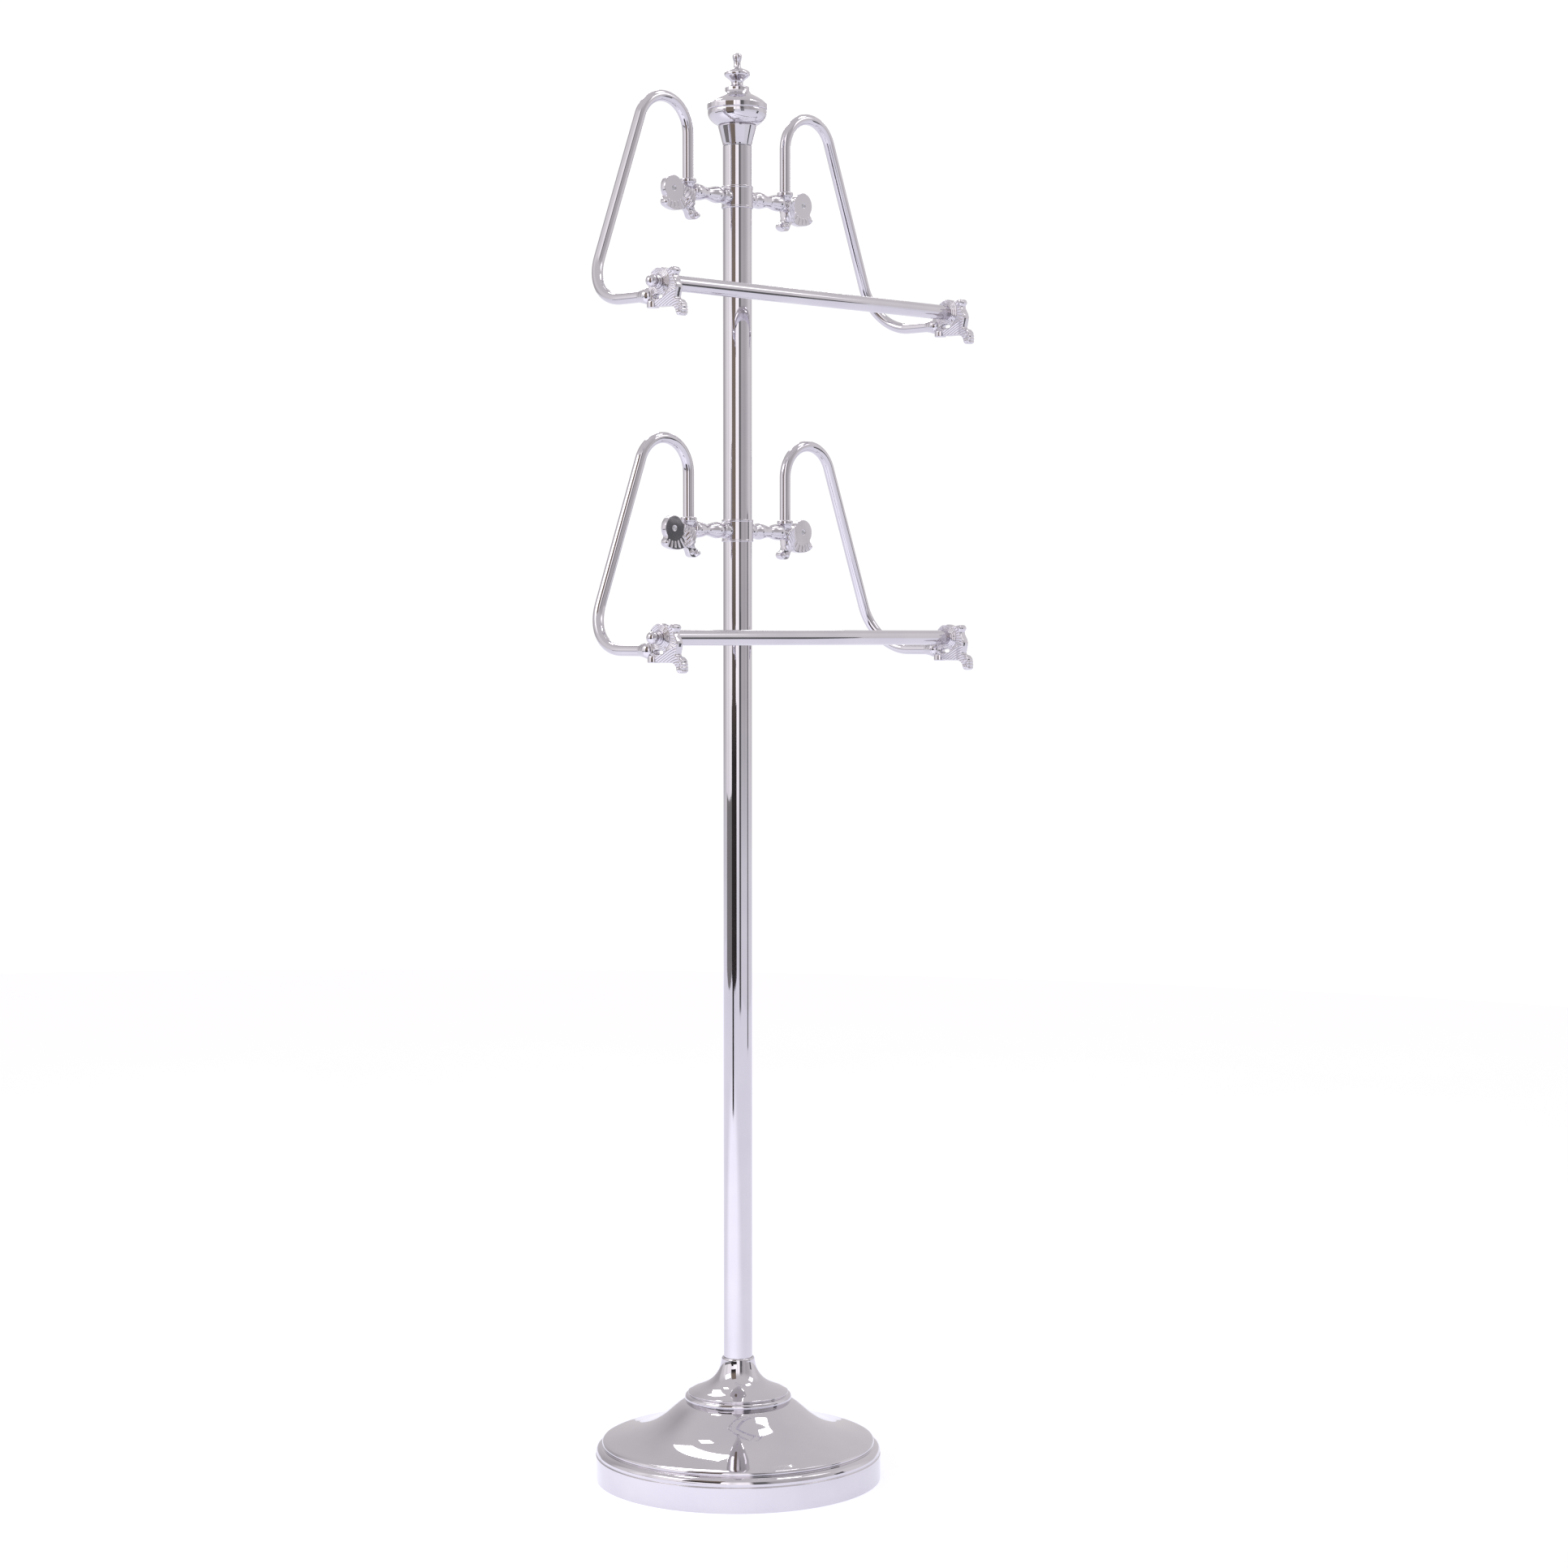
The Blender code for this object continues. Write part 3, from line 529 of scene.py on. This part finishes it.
def cords(p, q):
    """Relief shared by every face: radial lobes round the upper edge, strands below them."""
    radius = np.hypot(p, q)
    upper = window(q - 0.35 * p, -14.5, OPEN, 1.4)
    lobes = 0.75 * ridge(lobe_phase(p, q)) * window(radius, 12.4, OPEN, 0.9)
    strands = 0.75 * ridge(strand_phase(p, q)) * window(radius, 11.6, OPEN, 0.9)
    return upper * lobes + (1.0 - upper) * strands


BAR_BEADS = [(22.6, -20.6, 1.5), (23.4, -25.9, 2.4), (16.2, 8.4, 1.7), (7.4, -8.6, 1.2)]
POST_BEADS = [(-27.3, -21.3, 3.0), (-21.0, -20.4, 2.2), (9.6, -13.0, 1.8), (-15.4, -13.6, 1.6)]


def beads(p, q, places):
    """Round beads, each place a centre and a radius, standing on a flat face."""
    height = np.zeros_like(p)
    for bead_p, bead_q, size in places:
        squared = size ** 2 - (p - bead_p) ** 2 - (q - bead_q) ** 2
        height = np.maximum(height, np.sqrt(np.clip(squared, 0.0, None)))
    return height


def rosette(p, q):
    """Concentric ripples about the eye, with the outer ones broken into petals."""
    radius = np.hypot(p, q)
    petals = 0.24 * np.cos(np.arctan2(q, p) * PETALS) * window(radius, 6.5, OPEN, 3.0)
    ripple = 0.7 * ridge(math.pi * (radius + petals - ROSETTE_INNER) / RIPPLE_PITCH)
    return ripple * window(radius, ROSETTE_INNER, ROSETTE_OUTER, 0.5)


def bar_face(p, q):
    """Cords, rosette and beads, giving way to plain rings round the ball."""
    from_ball = np.hypot(p - (BAR_Y - BALL_Y), q - (BAR_DROP - FOOT_DROP))
    rings = 0.7 * ridge(math.pi * (from_ball - RINGS_INNER) / 1.75)
    rings = rings * window(from_ball, RINGS_INNER, RINGS_OUTER, 0.5)
    near = window(from_ball, -1.0, RINGS_OUTER, 0.8)
    base = np.maximum(cords(p, q), rosette(p, q)) * (1.0 - near) + rings * near
    return np.maximum(base, beads(p, q, BAR_BEADS))


def hub_swell(out, up):
    """Extra depth where the cords wrap the hub."""
    reach = np.hypot(out + EYE_X - 0.8, (up + EYE_Z + 5.0) / 1.5)
    return 3.2 * np.exp(-(reach / 5.8) ** 4)


def post_relief(out, up):
    """Cords that run down and outboard from the hub, with the tips of lobes round the belly."""
    radius = np.hypot(out, up)
    beyond = window(radius, DISC_RADIUS + 0.6, OPEN, 0.9)
    column = window(-out, 11.4, OPEN, 1.4) * window(up, -16.5, OPEN, 1.5)
    strands = 1.1 * ridge(math.pi * (0.83 * out + 0.56 * up) / POST_STRAND_PITCH)
    lobes = ridge(np.arctan2(up, out) / POST_LOBE_ANGLE * math.pi) - 0.7
    height = beyond * (column * strands + (1.0 - column) * lobes * window(-up, 6.0, 17.5, 2.0))
    return np.maximum(height, beads(out, up, POST_BEADS))


def disc_face(out, up):
    """Flat disc with a shallow screw seat at its centre, and the cords and lobes outside it."""
    radius = np.hypot(out, up)
    seat = 0.5 * window(radius, -1.0, 2.4, 0.3)
    return np.where(radius < DISC_RADIUS, -seat, post_relief(out, up) + hub_swell(out, up))


def back_face(out, up):
    return np.maximum(post_relief(out, up), rosette(out, up)) + hub_swell(out, up) - 0.5


def foot_wave(loop):
    """Ridges across the scroll foot's forward edge."""
    p, q = loop[:, 0], loop[:, 1]
    forward = window(p, 21.0, OPEN, 2.0) * window(-q, 15.0, OPEN, 1.5)
    shift = 0.45 * (ridge(math.pi * q / 2.9) - 0.6) * forward
    return loop + outward_normals(loop) * shift[:, None]


def casting(outline, holes, front, back, rounding, shape_edge=None):
    """Closed plate: rows of (p, q, depth) and faces, its faces carrying relief in millimetres."""
    edge = resample(soften(curved(outline), 8, True), 0.4)
    if shape_edge is not None:
        edge = shape_edge(edge)
    loops = [edge] + [resample(hole, 0.4) for hole in holes]
    rings = []
    for loop_index, loop in enumerate(loops):
        normals = outward_normals(loop) * (1.0 if loop_index else -1.0)
        for depth in (0.10, 0.32, 0.65, 1.0):
            ring = loop + normals * depth * rounding
            rings.append(ring[edge_distance(ring, loops) > 0.96 * depth * rounding])
    low, high = edge.min(0), edge.max(0)
    columns = np.arange(low[0], high[0], GRID)
    lines = np.arange(low[1], high[1], GRID * 0.87)
    grid = np.array([(x + 0.5 * GRID * (row % 2), y) for row, y in enumerate(lines)
                     for x in columns])
    grid = grid[within(grid, loops)]
    grid = grid[edge_distance(grid, loops) > rounding + 0.6 * GRID]
    points = np.vstack(loops + rings + [grid])
    edges, start = [], 0
    for loop in loops:
        count = len(loop)
        edges += [(start + index, start + (index + 1) % count) for index in range(count)]
        start += count
    made = delaunay_2d_cdt([Vector(point) for point in points], edges, [], 1, 1e-6)
    flat = np.array([tuple(point) for point in made[0]])
    centres = np.array([flat[list(face)].mean(0) for face in made[2]])
    solid = within(centres, loops)
    triangles = [list(face) for face, kept in zip(made[2], solid) if kept]
    used = sorted({index for face in triangles for index in face})
    renumber = {old: new for new, old in enumerate(used)}
    flat = flat[used]
    triangles = [[renumber[index] for index in face] for face in triangles]

    distance = edge_distance(flat, loops)
    short = rounding - np.clip(distance, 0.0, rounding)
    rounded = CASTING_HALF - rounding + np.sqrt(np.clip(rounding ** 2 - short ** 2, 0.0, None))
    fade = np.clip(distance / 1.1, 0.0, 1.0) ** 0.7
    p, q = flat[:, 0], flat[:, 1]
    top = rounded + fade * front(p, q)
    bottom = -(rounded + fade * back(p, q))
    rows = np.vstack([np.column_stack([flat, top]), np.column_stack([flat, bottom])])
    count = len(flat)
    faces = list(triangles)
    faces += [[index + count for index in reversed(face)] for face in triangles]
    sides = {}
    for face in triangles:
        for first, second in zip(face, face[1:] + face[:1]):
            key = (min(first, second), max(first, second))
            sides[key] = None if key in sides else (first, second)
    for pair in sides.values():
        if pair is not None:
            first, second = pair
            faces.append([second, first, first + count, second + count])
    return rows, faces


def round_points(centre, radius, start, end, count):
    angles = np.radians(np.linspace(start, end, count + 1))
    return [(centre[0] + radius * math.cos(a), centre[1] + radius * math.sin(a)) for a in angles]


def bar_casting():
    ball = (BAR_Y - BALL_Y, BAR_DROP - FOOT_DROP)
    outline = WING + BELLY + SCROLL_FOOT + ARCH + [(12.0, SOLE), (-3.6, SOLE), (-4.4, -19.6)]
    outline += [(-4.8, -17.6), (-6.2, -16.0), (-8.6, -15.2)]
    outline += round_points(ball, BALL_RADIUS - 1.2, -50.0, 62.0, 8)
    outline += round_points((0.0, 0.0), 11.9, 196.0, 62.0, 12)
    slot = round_points((2.8, -12.0), 1.6, -90.0, 90.0, 8)
    slot += round_points((-5.0, -12.0), 1.6, 90.0, 270.0, 8)
    return casting(outline, [slot], bar_face, bar_face, EDGE, foot_wave)


def post_casting():
    outline = POST_WING + POST_BELLY + POST_FOOT + POST_HUB_SIDE
    outline += round_points((0.0, 0.0), DISC_RADIUS + 0.1, 152.0, -40.0, 24)
    rows, faces = casting(outline, [], disc_face, back_face, POST_EDGE)
    rows[len(rows) // 2:, 2] *= POST_BACK / CASTING_HALF
    return rows, faces


def build_castings(chrome):
    bar_rows, bar_faces = bar_casting()
    post_rows, post_faces = post_casting()
    for tier, height in TIERS.items():
        for side_name, side in SIDES.items():
            name = f"{tier}_bar_casting_{side_name}"
            level = height - BAR_DROP
            verts = [(side * (FOOT_X + depth), BAR_Y - p, level + q) for p, q, depth in bar_rows]
            piece(name, mesh_of(name, verts, bar_faces, 180.0), f"{tier}_tier", "chrome_plate",
                  chrome, f"{tier}_bar_bracket_{side_name}")
            name = f"{tier}_post_casting_{side_name}"
            verts = [(side * (HUB_X + EYE_X + out), -depth, height + EYE_Z + up)
                     for out, up, depth in post_rows]
            piece(name, mesh_of(name, verts, post_faces, 180.0), f"{tier}_tier", "chrome_plate",
                  chrome, f"{tier}_post_bracket_{side_name}")


# ---------------------------------------------------------------- turned joints of a tier
def build_collar(tier, chrome, steel):
    height = TIERS[tier]
    half = COLLAR_HALF
    profile = [(13.0, half), (13.7, half, 0.2), (14.0, half - 0.4, 0.3), (14.0, half - 1.5, 0.2),
               (13.75, half - 1.9, 0.2), (13.75, 1.9 - half, 0.2), (14.0, 1.5 - half, 0.2),
               (14.0, 0.4 - half, 0.3), (13.7, -half, 0.2), (13.0, -half)]
    name = f"{tier}_collar_sleeve"
    mesh = lathe(name, profile, 128, True, lambda x, y, z: (x, y, z + height), 3)
    piece(name, mesh, f"{tier}_tier", "chrome_plate", chrome, f"{tier}_collar")
    screw = [(0.0, 14.4), (1.0, 14.4, 0.05), (1.2, 15.4, 0.1), (1.7, 15.6, 0.1),
             (2.0, 15.3, 0.1), (2.0, 13.2), (0.0, 13.2)]
    name = f"{tier}_set_screw"
    mesh = lathe(name, screw, 48, False, lambda x, y, z: (x, z, y + height), 3)
    piece(name, mesh, f"{tier}_tier", "chrome_plate", steel, f"{tier}_collar_screw")


def build_spindle(tier, side_name, chrome):
    """Turned arm whose inner flange is bent to wrap the collar."""
    side, height = SIDES[side_name], TIERS[tier]
    profile = [(0.0, 57.0), (3.4, 56.8, CURVE), (5.9, 55.4, CURVE), (7.1, 53.2, CURVE),
               (7.3, 50.4, CURVE),
               (6.7, 45.6, CURVE), (5.5, 41.6, CURVE), (5.0, 38.6, CURVE), (5.8, 33.6, CURVE),
               (7.2, 28.6, CURVE), (7.3, 24.8, CURVE), (6.3, 21.4, CURVE), (5.9, 19.6, CURVE),
               (6.5, 18.2, 0.6), (7.1, 17.4, 0.6), (7.1, 15.0, 0.3), (6.8, 14.3, 0.2), (0.0, 14.3)]
    wrap_radius = COLLAR_OUTER + 0.1

    def place(x, y, z):
        share = min(1.0, max(0.0, (23.0 - z) / 7.0))
        bent = z - share * (wrap_radius - math.sqrt(wrap_radius ** 2 - x * x))
        return side * bent, x, y + height

    name = f"{tier}_spindle_{side_name}_turned"
    piece(name, lathe(name, profile, 96, False, place), f"{tier}_tier", "chrome_plate", chrome,
          f"{tier}_spindle_{side_name}")


def build_hub(tier, side_name, chrome):
    side, height = SIDES[side_name], TIERS[tier]
    profile = [(0.0, 10.5), (4.9, 10.5), (6.5, 10.5, 0.4), (7.1, 9.9, 0.5), (7.1, 7.3, 0.5),
               (6.5, 6.7, 0.3), (6.0, 6.5, 0.3), (5.9, 5.6, 0.6), (5.2, 3.6, CURVE),
               (4.2, 2.3, 0.6), (5.0, 1.6, 0.8), (6.4, -1.0, CURVE), (6.3, -4.2, CURVE),
               (4.2, -6.6, CURVE), (1.6, -7.2, CURVE), (0.0, -7.3)]
    name = f"{tier}_hub_{side_name}_cup"
    mesh = lathe(name, profile, 96, False, lambda x, y, z: (side * HUB_X + x, y, z + height))
    piece(name, mesh, f"{tier}_tier", "chrome_plate", chrome, f"{tier}_hub_{side_name}")


def ball_points(radius, start, end, count):
    angles = np.radians(np.linspace(start, end, count + 1))
    return [(radius * math.cos(a), radius * math.sin(a), 0.0) for a in angles]


def build_connector(tier, side_name, chrome):
    """Ball on the arm's forward end with a bell-shaped sleeve, and the round foot below it."""
    side, height = SIDES[side_name], TIERS[tier]
    sleeve = [(0.0, BALL_SLEEVE), (4.95, BALL_SLEEVE, 0.2), (5.3, 8.3, 0.4), (5.3, 7.2, CURVE),
              (5.8, 5.6, CURVE), (6.1, 4.2, 0.6)]
    profile = sleeve + ball_points(BALL_RADIUS, 28.0, -90.0, 30)
    verts, faces = revolve(soften(profile, 6), 96)
    level = height - FOOT_DROP
    verts = [(side * FOOT_X + x, BALL_Y + z, level + y) for x, y, z in verts]
    foot_level = height - BAR_DROP + SOLE
    foot = [(0.0, 7.4), (3.4, 7.0, CURVE), (5.0, 5.2, CURVE), (5.2, 3.6, 0.8), (5.2, 0.3, 0.4),
            (4.8, -0.3, 0.3), (0.0, -0.3)]
    foot_verts, foot_faces = revolve(soften(foot, 5), 72)
    start = len(verts)
    verts += [(side * FOOT_X + x, BAR_Y + 10.1 + y, foot_level + z) for x, y, z in foot_verts]
    faces += [[start + index for index in face] for face in foot_faces]
    name = f"{tier}_connector_{side_name}_ball"
    piece(name, mesh_of(name, verts, faces), f"{tier}_tier", "chrome_plate", chrome,
          f"{tier}_connector_{side_name}")


def build_knob(tier, side_name, chrome):
    side, height = SIDES[side_name], TIERS[tier]
    ball = [(radius, KNOB_REACH + up, 0.0) for radius, up, _ in ball_points(KNOB_RADIUS, 90.0,
                                                                        -52.0, 26)]
    neck = [(3.1, KNOB_REACH - 4.9, 0.3), (3.4, 5.6, 0.3), (5.1, 5.2, 0.4), (5.4, 4.6, 0.3),
            (5.3, 3.4), (0.0, 3.4)]
    level = height - BAR_DROP
    name = f"{tier}_bar_knob_{side_name}_ball"
    mesh = lathe(name, ball + neck, 96, False,
                 lambda x, y, z: (side * (FOOT_X + z), BAR_Y + x, level + y))
    piece(name, mesh, f"{tier}_tier", "chrome_plate", chrome, f"{tier}_bar_knob_{side_name}")


def build_bracket_screw(tier, side_name, steel):
    """Domed screw head sunk in the post bracket's eye."""
    side, height = SIDES[side_name], TIERS[tier]
    profile = [(0.0, 1.7), (0.9, 1.65, CURVE), (1.7, 1.3, CURVE), (2.1, 0.8, 0.3), (2.1, 0.0),
               (0.0, 0.0)]
    face = CASTING_HALF - 1.5
    name = f"{tier}_bracket_screw_{side_name}_head"
    mesh = lathe(name, profile, 48, False, lambda x, y, z: (
        side * (HUB_X + EYE_X) + x, -(face + z), height + EYE_Z + y))
    piece(name, mesh, f"{tier}_tier", "chrome_plate", steel, f"{tier}_bracket_screw_{side_name}")


# ---------------------------------------------------------------- studio
def picture_axes():
    """Unit vectors from the object toward the camera and toward the picture's right."""
    toward = Vector((math.sin(CAMERA_AZIMUTH), -math.cos(CAMERA_AZIMUTH), 0.0))
    right = Vector((math.cos(CAMERA_AZIMUTH), math.sin(CAMERA_AZIMUTH), 0.0))
    return toward, right


def build_world():
    """Pale room with a few darker panels and bright openings, for the metal to reflect."""
    world = bpy.data.worlds.new("studio")
    bpy.context.scene.world = world
    world.use_nodes = True
    tree = world.node_tree
    tree.nodes.clear()
    toward, right = picture_axes()
    place = add_node(tree, "ShaderNodeTexCoord")
    parts = {}
    for name, axis in (("ahead", toward), ("side", right), ("up", Vector((0.0, 0.0, 1.0)))):
        dot = add_node(tree, "ShaderNodeVectorMath", operation="DOT_PRODUCT")
        dot.inputs[1].default_value = axis
        tree.links.new(place.outputs["Generated"], dot.inputs[0])
        parts[name] = dot.outputs["Value"]
    angle = add_node(tree, "ShaderNodeMath", operation="ARCTAN2")
    tree.links.new(parts["side"], angle.inputs[0])
    tree.links.new(parts["ahead"], angle.inputs[1])
    turn = map_range(tree, angle.outputs["Value"], (-math.pi, math.pi))

    def ramp(stops, source):
        node = add_node(tree, "ShaderNodeValToRGB")
        elements = node.color_ramp.elements
        while len(elements) < len(stops):
            elements.new(0.5)
        for element, (position, color) in zip(elements, stops):
            element.position = position
            element.color = (*color, 1.0)
        tree.links.new(source, node.inputs["Fac"])
        return node.outputs["Color"]

    def grey(level):
        return (level, level * 0.965, level * 0.985)

    # Turn from the camera toward the right, in degrees, and brightness there.
    levels = [(-180, 0.72), (-160, 0.66), (-138, 0.55), (-122, 0.55), (-112, 0.84), (-98, 0.90),
              (-88, 1.15), (-78, 0.95), (-66, 1.25), (-44, 1.25), (-17, 1.65), (-8, 1.65),
              (-5, 1.15), (1, 1.5), (10, 1.4), (14, 0.16), (24, 0.17), (29, 0.52), (44, 0.62),
              (52, 0.54), (70, 0.60), (90, 0.76), (98, 0.88), (115, 0.90), (132, 0.78),
              (160, 0.78), (180, 0.72)]
    wall = ramp([((angle + 180.0) / 360.0, grey(level)) for angle, level in levels],
                turn)

    def blend(source, low, high, lower, upper):
        mix = add_node(tree, "ShaderNodeMix", data_type="RGBA")
        share = map_range(tree, source, (low, high), smooth=True)
        tree.links.new(share, mix.inputs["Factor"])
        for socket, value in (("A", lower), ("B", upper)):
            if isinstance(value, tuple):
                mix.inputs[socket].default_value = (*value, 1.0)
            else:
                tree.links.new(value, mix.inputs[socket])
        return mix.outputs["Result"]

    ceiling = blend(parts["up"], 0.50, 0.80, wall, grey(0.76))
    shade = blend(parts["up"], -0.10, -0.01, (0.92, 0.91, 0.98), ceiling)

    room = add_node(tree, "ShaderNodeBackground")
    tree.links.new(shade, room.inputs["Color"])
    paper = add_node(tree, "ShaderNodeBackground")
    paper.inputs["Color"].default_value = (1.05, 1.05, 1.05, 1.0)
    path = add_node(tree, "ShaderNodeLightPath")
    choose = add_node(tree, "ShaderNodeMixShader")
    tree.links.new(path.outputs["Is Camera Ray"], choose.inputs["Fac"])
    tree.links.new(room.outputs["Background"], choose.inputs[1])
    tree.links.new(paper.outputs["Background"], choose.inputs[2])
    output = add_node(tree, "ShaderNodeOutputWorld")
    tree.links.new(choose.outputs["Shader"], output.inputs["Surface"])


def build_floor():
    """Pale paper out to FLOOR_RADIUS with an even glow, and painted pools of light that brighten it
    near the base and ahead of it.
    """
    mesh = bpy.data.meshes.new("floor")
    bm = bmesh.new()
    bmesh.ops.create_circle(bm, cap_ends=True, segments=128, radius=FLOOR_RADIUS)
    toward, right = picture_axes()
    bmesh.ops.translate(bm, verts=bm.verts, vec=right * FLOOR_SHIFT)
    bm.to_mesh(mesh)
    bm.free()
    floor = bpy.data.objects.new("floor", mesh)
    bpy.context.scene.collection.objects.link(floor)
    mat, tree, shader = node_material("paper_floor", (0.30, 0.30, 0.32), 0.0, 0.9)
    tint_from(tree, shader, noise(tree, 3.0), (0.295, 0.295, 0.315), (0.305, 0.305, 0.325))
    place = add_node(tree, "ShaderNodeTexCoord")

    def painted_light_pool(centre, near, far, inner, outer):
        """Painted pool of light: glow that goes from inner to outer as the distance from centre
        grows.
        """
        reach = add_node(tree, "ShaderNodeVectorMath", operation="DISTANCE")
        reach.inputs[1].default_value = centre
        tree.links.new(place.outputs["Object"], reach.inputs[0])
        return map_range(tree, reach.outputs["Value"], (near, far), (inner, outer), smooth=True)

    # Painted light: the floor's emission is raised in two pools, near the base and ahead of it, over
    # an even glow of 0.74.
    painted_light_by_base = painted_light_pool(toward * 0.20 - right * 0.16, 0.08, 0.42, 0.88, 0.74)
    painted_light_ahead = painted_light_pool(toward * 1.05 - right * 0.90, 0.60, 1.60, 0.36, 0.0)
    total = add_node(tree, "ShaderNodeMath", operation="ADD")
    tree.links.new(painted_light_by_base, total.inputs[0])
    tree.links.new(painted_light_ahead, total.inputs[1])
    shader.inputs["Emission Color"].default_value = (0.97, 0.965, 1.07, 1.0)
    tree.links.new(total.outputs["Value"], shader.inputs["Emission Strength"])
    mesh.materials.append(mat)


def build_lights():
    """Soft boxes overhead; the base mirrors them as bright windows."""
    toward, right = picture_axes()
    # Turn from the camera toward the right, lift (degrees), distance, width, length (metres), watts.
    boxes = [(-66.0, 40.0, 2.6, 1.25, 0.75, 5.2), (-165.0, 45.0, 2.6, 0.72, 0.50, 5.0),
             (-142.0, 62.0, 2.6, 0.22, 0.36, 1.4), (106.0, 67.0, 2.6, 0.42, 0.52, 3.4),
             (88.0, 46.0, 2.6, 0.80, 0.70, 2.0), (176.0, 29.0, 2.6, 0.20, 0.28, 0.9)]
    for index, (angle, lift, distance, width, length, power) in enumerate(boxes):
        light = bpy.data.lights.new(f"soft_box_{index}", "AREA")
        light.shape = "RECTANGLE"
        light.size = width
        light.size_y = length
        light.energy = power
        obj = bpy.data.objects.new(light.name, light)
        bpy.context.scene.collection.objects.link(obj)
        around, above = math.radians(angle), math.radians(lift)
        direction = (toward * math.cos(around) + right * math.sin(around)) * math.cos(above)
        direction += Vector((0.0, 0.0, math.sin(above)))
        obj.location = direction * distance + Vector((0.0, 0.0, 0.3))
        obj.rotation_euler = direction.to_track_quat("Z", "Y").to_euler()


def build_flags():
    """Upright panels that the metal mirrors as dark strips; no camera sees them."""
    toward, right = picture_axes()
    brown, black = (0.27, 0.22, 0.18), (0.04, 0.035, 0.035)
    soot, shadow = (0.13, 0.13, 0.135), (0.26, 0.25, 0.25)
    # Name, turn, spread (degrees), distance, lowest and highest level (metres), colour below, above.
    panels = [("flag_brown", -28.5, 31.0, 0.95, 0.46, 1.68, black, brown),
              ("flag_skirting", -28.0, 40.0, 4.0, 0.0, 0.60, black, black),
              ("flag_leg", -37.0, 13.0, 2.2, 0.0, 0.50, black, black),
              ("flag_cabinet", -72.0, 50.0, 4.0, 0.0, 0.40, shadow, shadow),
              ("flag_front", 21.0, 14.0, 3.6, 0.0, 0.80, soot, soot),
              ("flag_right", 88.5, 10.0, 3.0, 0.0, 0.97, soot, soot)]
    for name, angle, spread, distance, low, high, foot_color, head_color in panels:
        around = math.radians(angle)
        direction = toward * math.cos(around) + right * math.sin(around)
        across = Vector((-direction.y, direction.x, 0.0))
        half = distance * math.tan(0.5 * math.radians(spread))
        mesh = bpy.data.meshes.new(name)
        bm = bmesh.new()
        corners = [direction * distance + across * (sign * half) + Vector((0.0, 0.0, level))
                   for sign, level in ((-1.0, low), (1.0, low), (1.0, high), (-1.0, high))]
        bm.faces.new([bm.verts.new(corner) for corner in corners])
        bm.to_mesh(mesh)
        bm.free()
        panel = bpy.data.objects.new(name, mesh)
        bpy.context.scene.collection.objects.link(panel)
        panel.visible_camera = False
        panel.visible_shadow = False
        panel.visible_diffuse = False
        mat, tree, shader = node_material(name, (0.0, 0.0, 0.0), 0.0, 1.0)
        shader.inputs["Specular IOR Level"].default_value = 0.0
        shader.inputs["Emission Strength"].default_value = 1.0
        place = add_node(tree, "ShaderNodeTexCoord")
        split = add_node(tree, "ShaderNodeSeparateXYZ")
        shade = add_node(tree, "ShaderNodeValToRGB")
        shade.color_ramp.elements[0].position = 0.12
        shade.color_ramp.elements[0].color = (*foot_color, 1.0)
        shade.color_ramp.elements[1].position = 0.34
        shade.color_ramp.elements[1].color = (*head_color, 1.0)
        tree.links.new(place.outputs["Generated"], split.inputs["Vector"])
        tree.links.new(split.outputs["Z"], shade.inputs["Fac"])
        tree.links.new(shade.outputs["Color"], shader.inputs["Emission Color"])
        mesh.materials.append(mat)


def build_camera():
    camera = bpy.data.cameras.new("camera")
    camera.sensor_width = SENSOR
    camera.lens = LENS
    camera.clip_start = 0.05
    camera.clip_end = 60.0
    obj = bpy.data.objects.new("camera", camera)
    bpy.context.scene.collection.objects.link(obj)
    toward, right = picture_axes()
    obj.location = toward * CAMERA_DISTANCE - right * CAMERA_SIDE + Vector((0, 0, CAMERA_HEIGHT))
    obj.rotation_euler = (0.5 * math.pi - CAMERA_PITCH, 0.0, CAMERA_AZIMUTH)
    bpy.context.scene.camera = obj


build_camera()
plate = chrome_material("chrome_plate")
turned_plate = chrome_material("turned_chrome", 0.012)
cast_plate = chrome_material("cast_chrome", 0.05, (0.03, 0.07))
steel = steel_material()
rubber = rubber_material()
build_base(turned_plate, rubber)
build_post(plate)
build_finial(turned_plate)
build_castings(cast_plate)
for tier_name in TIERS:
    build_bar(tier_name, plate)
    build_collar(tier_name, turned_plate, steel)
    for side_key in SIDES:
        build_arm(tier_name, side_key, plate)
        build_spindle(tier_name, side_key, turned_plate)
        build_hub(tier_name, side_key, turned_plate)
        build_connector(tier_name, side_key, turned_plate)
        build_knob(tier_name, side_key, turned_plate)
        build_bracket_screw(tier_name, side_key, steel)
for node_name, mat in (("base_weight", iron_material()), ("base_bolt", steel),
                       ("base_washer", steel), ("post_coupler_lower", steel),
                       ("post_coupler_upper", steel), ("post_foot_plug", steel)):
    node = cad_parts[node_name]
    node.data.materials.clear()
    node.data.materials.append(mat)
build_world()
build_floor()
build_flags()
build_lights()
bpy.context.scene.view_settings.view_transform = "Standard"
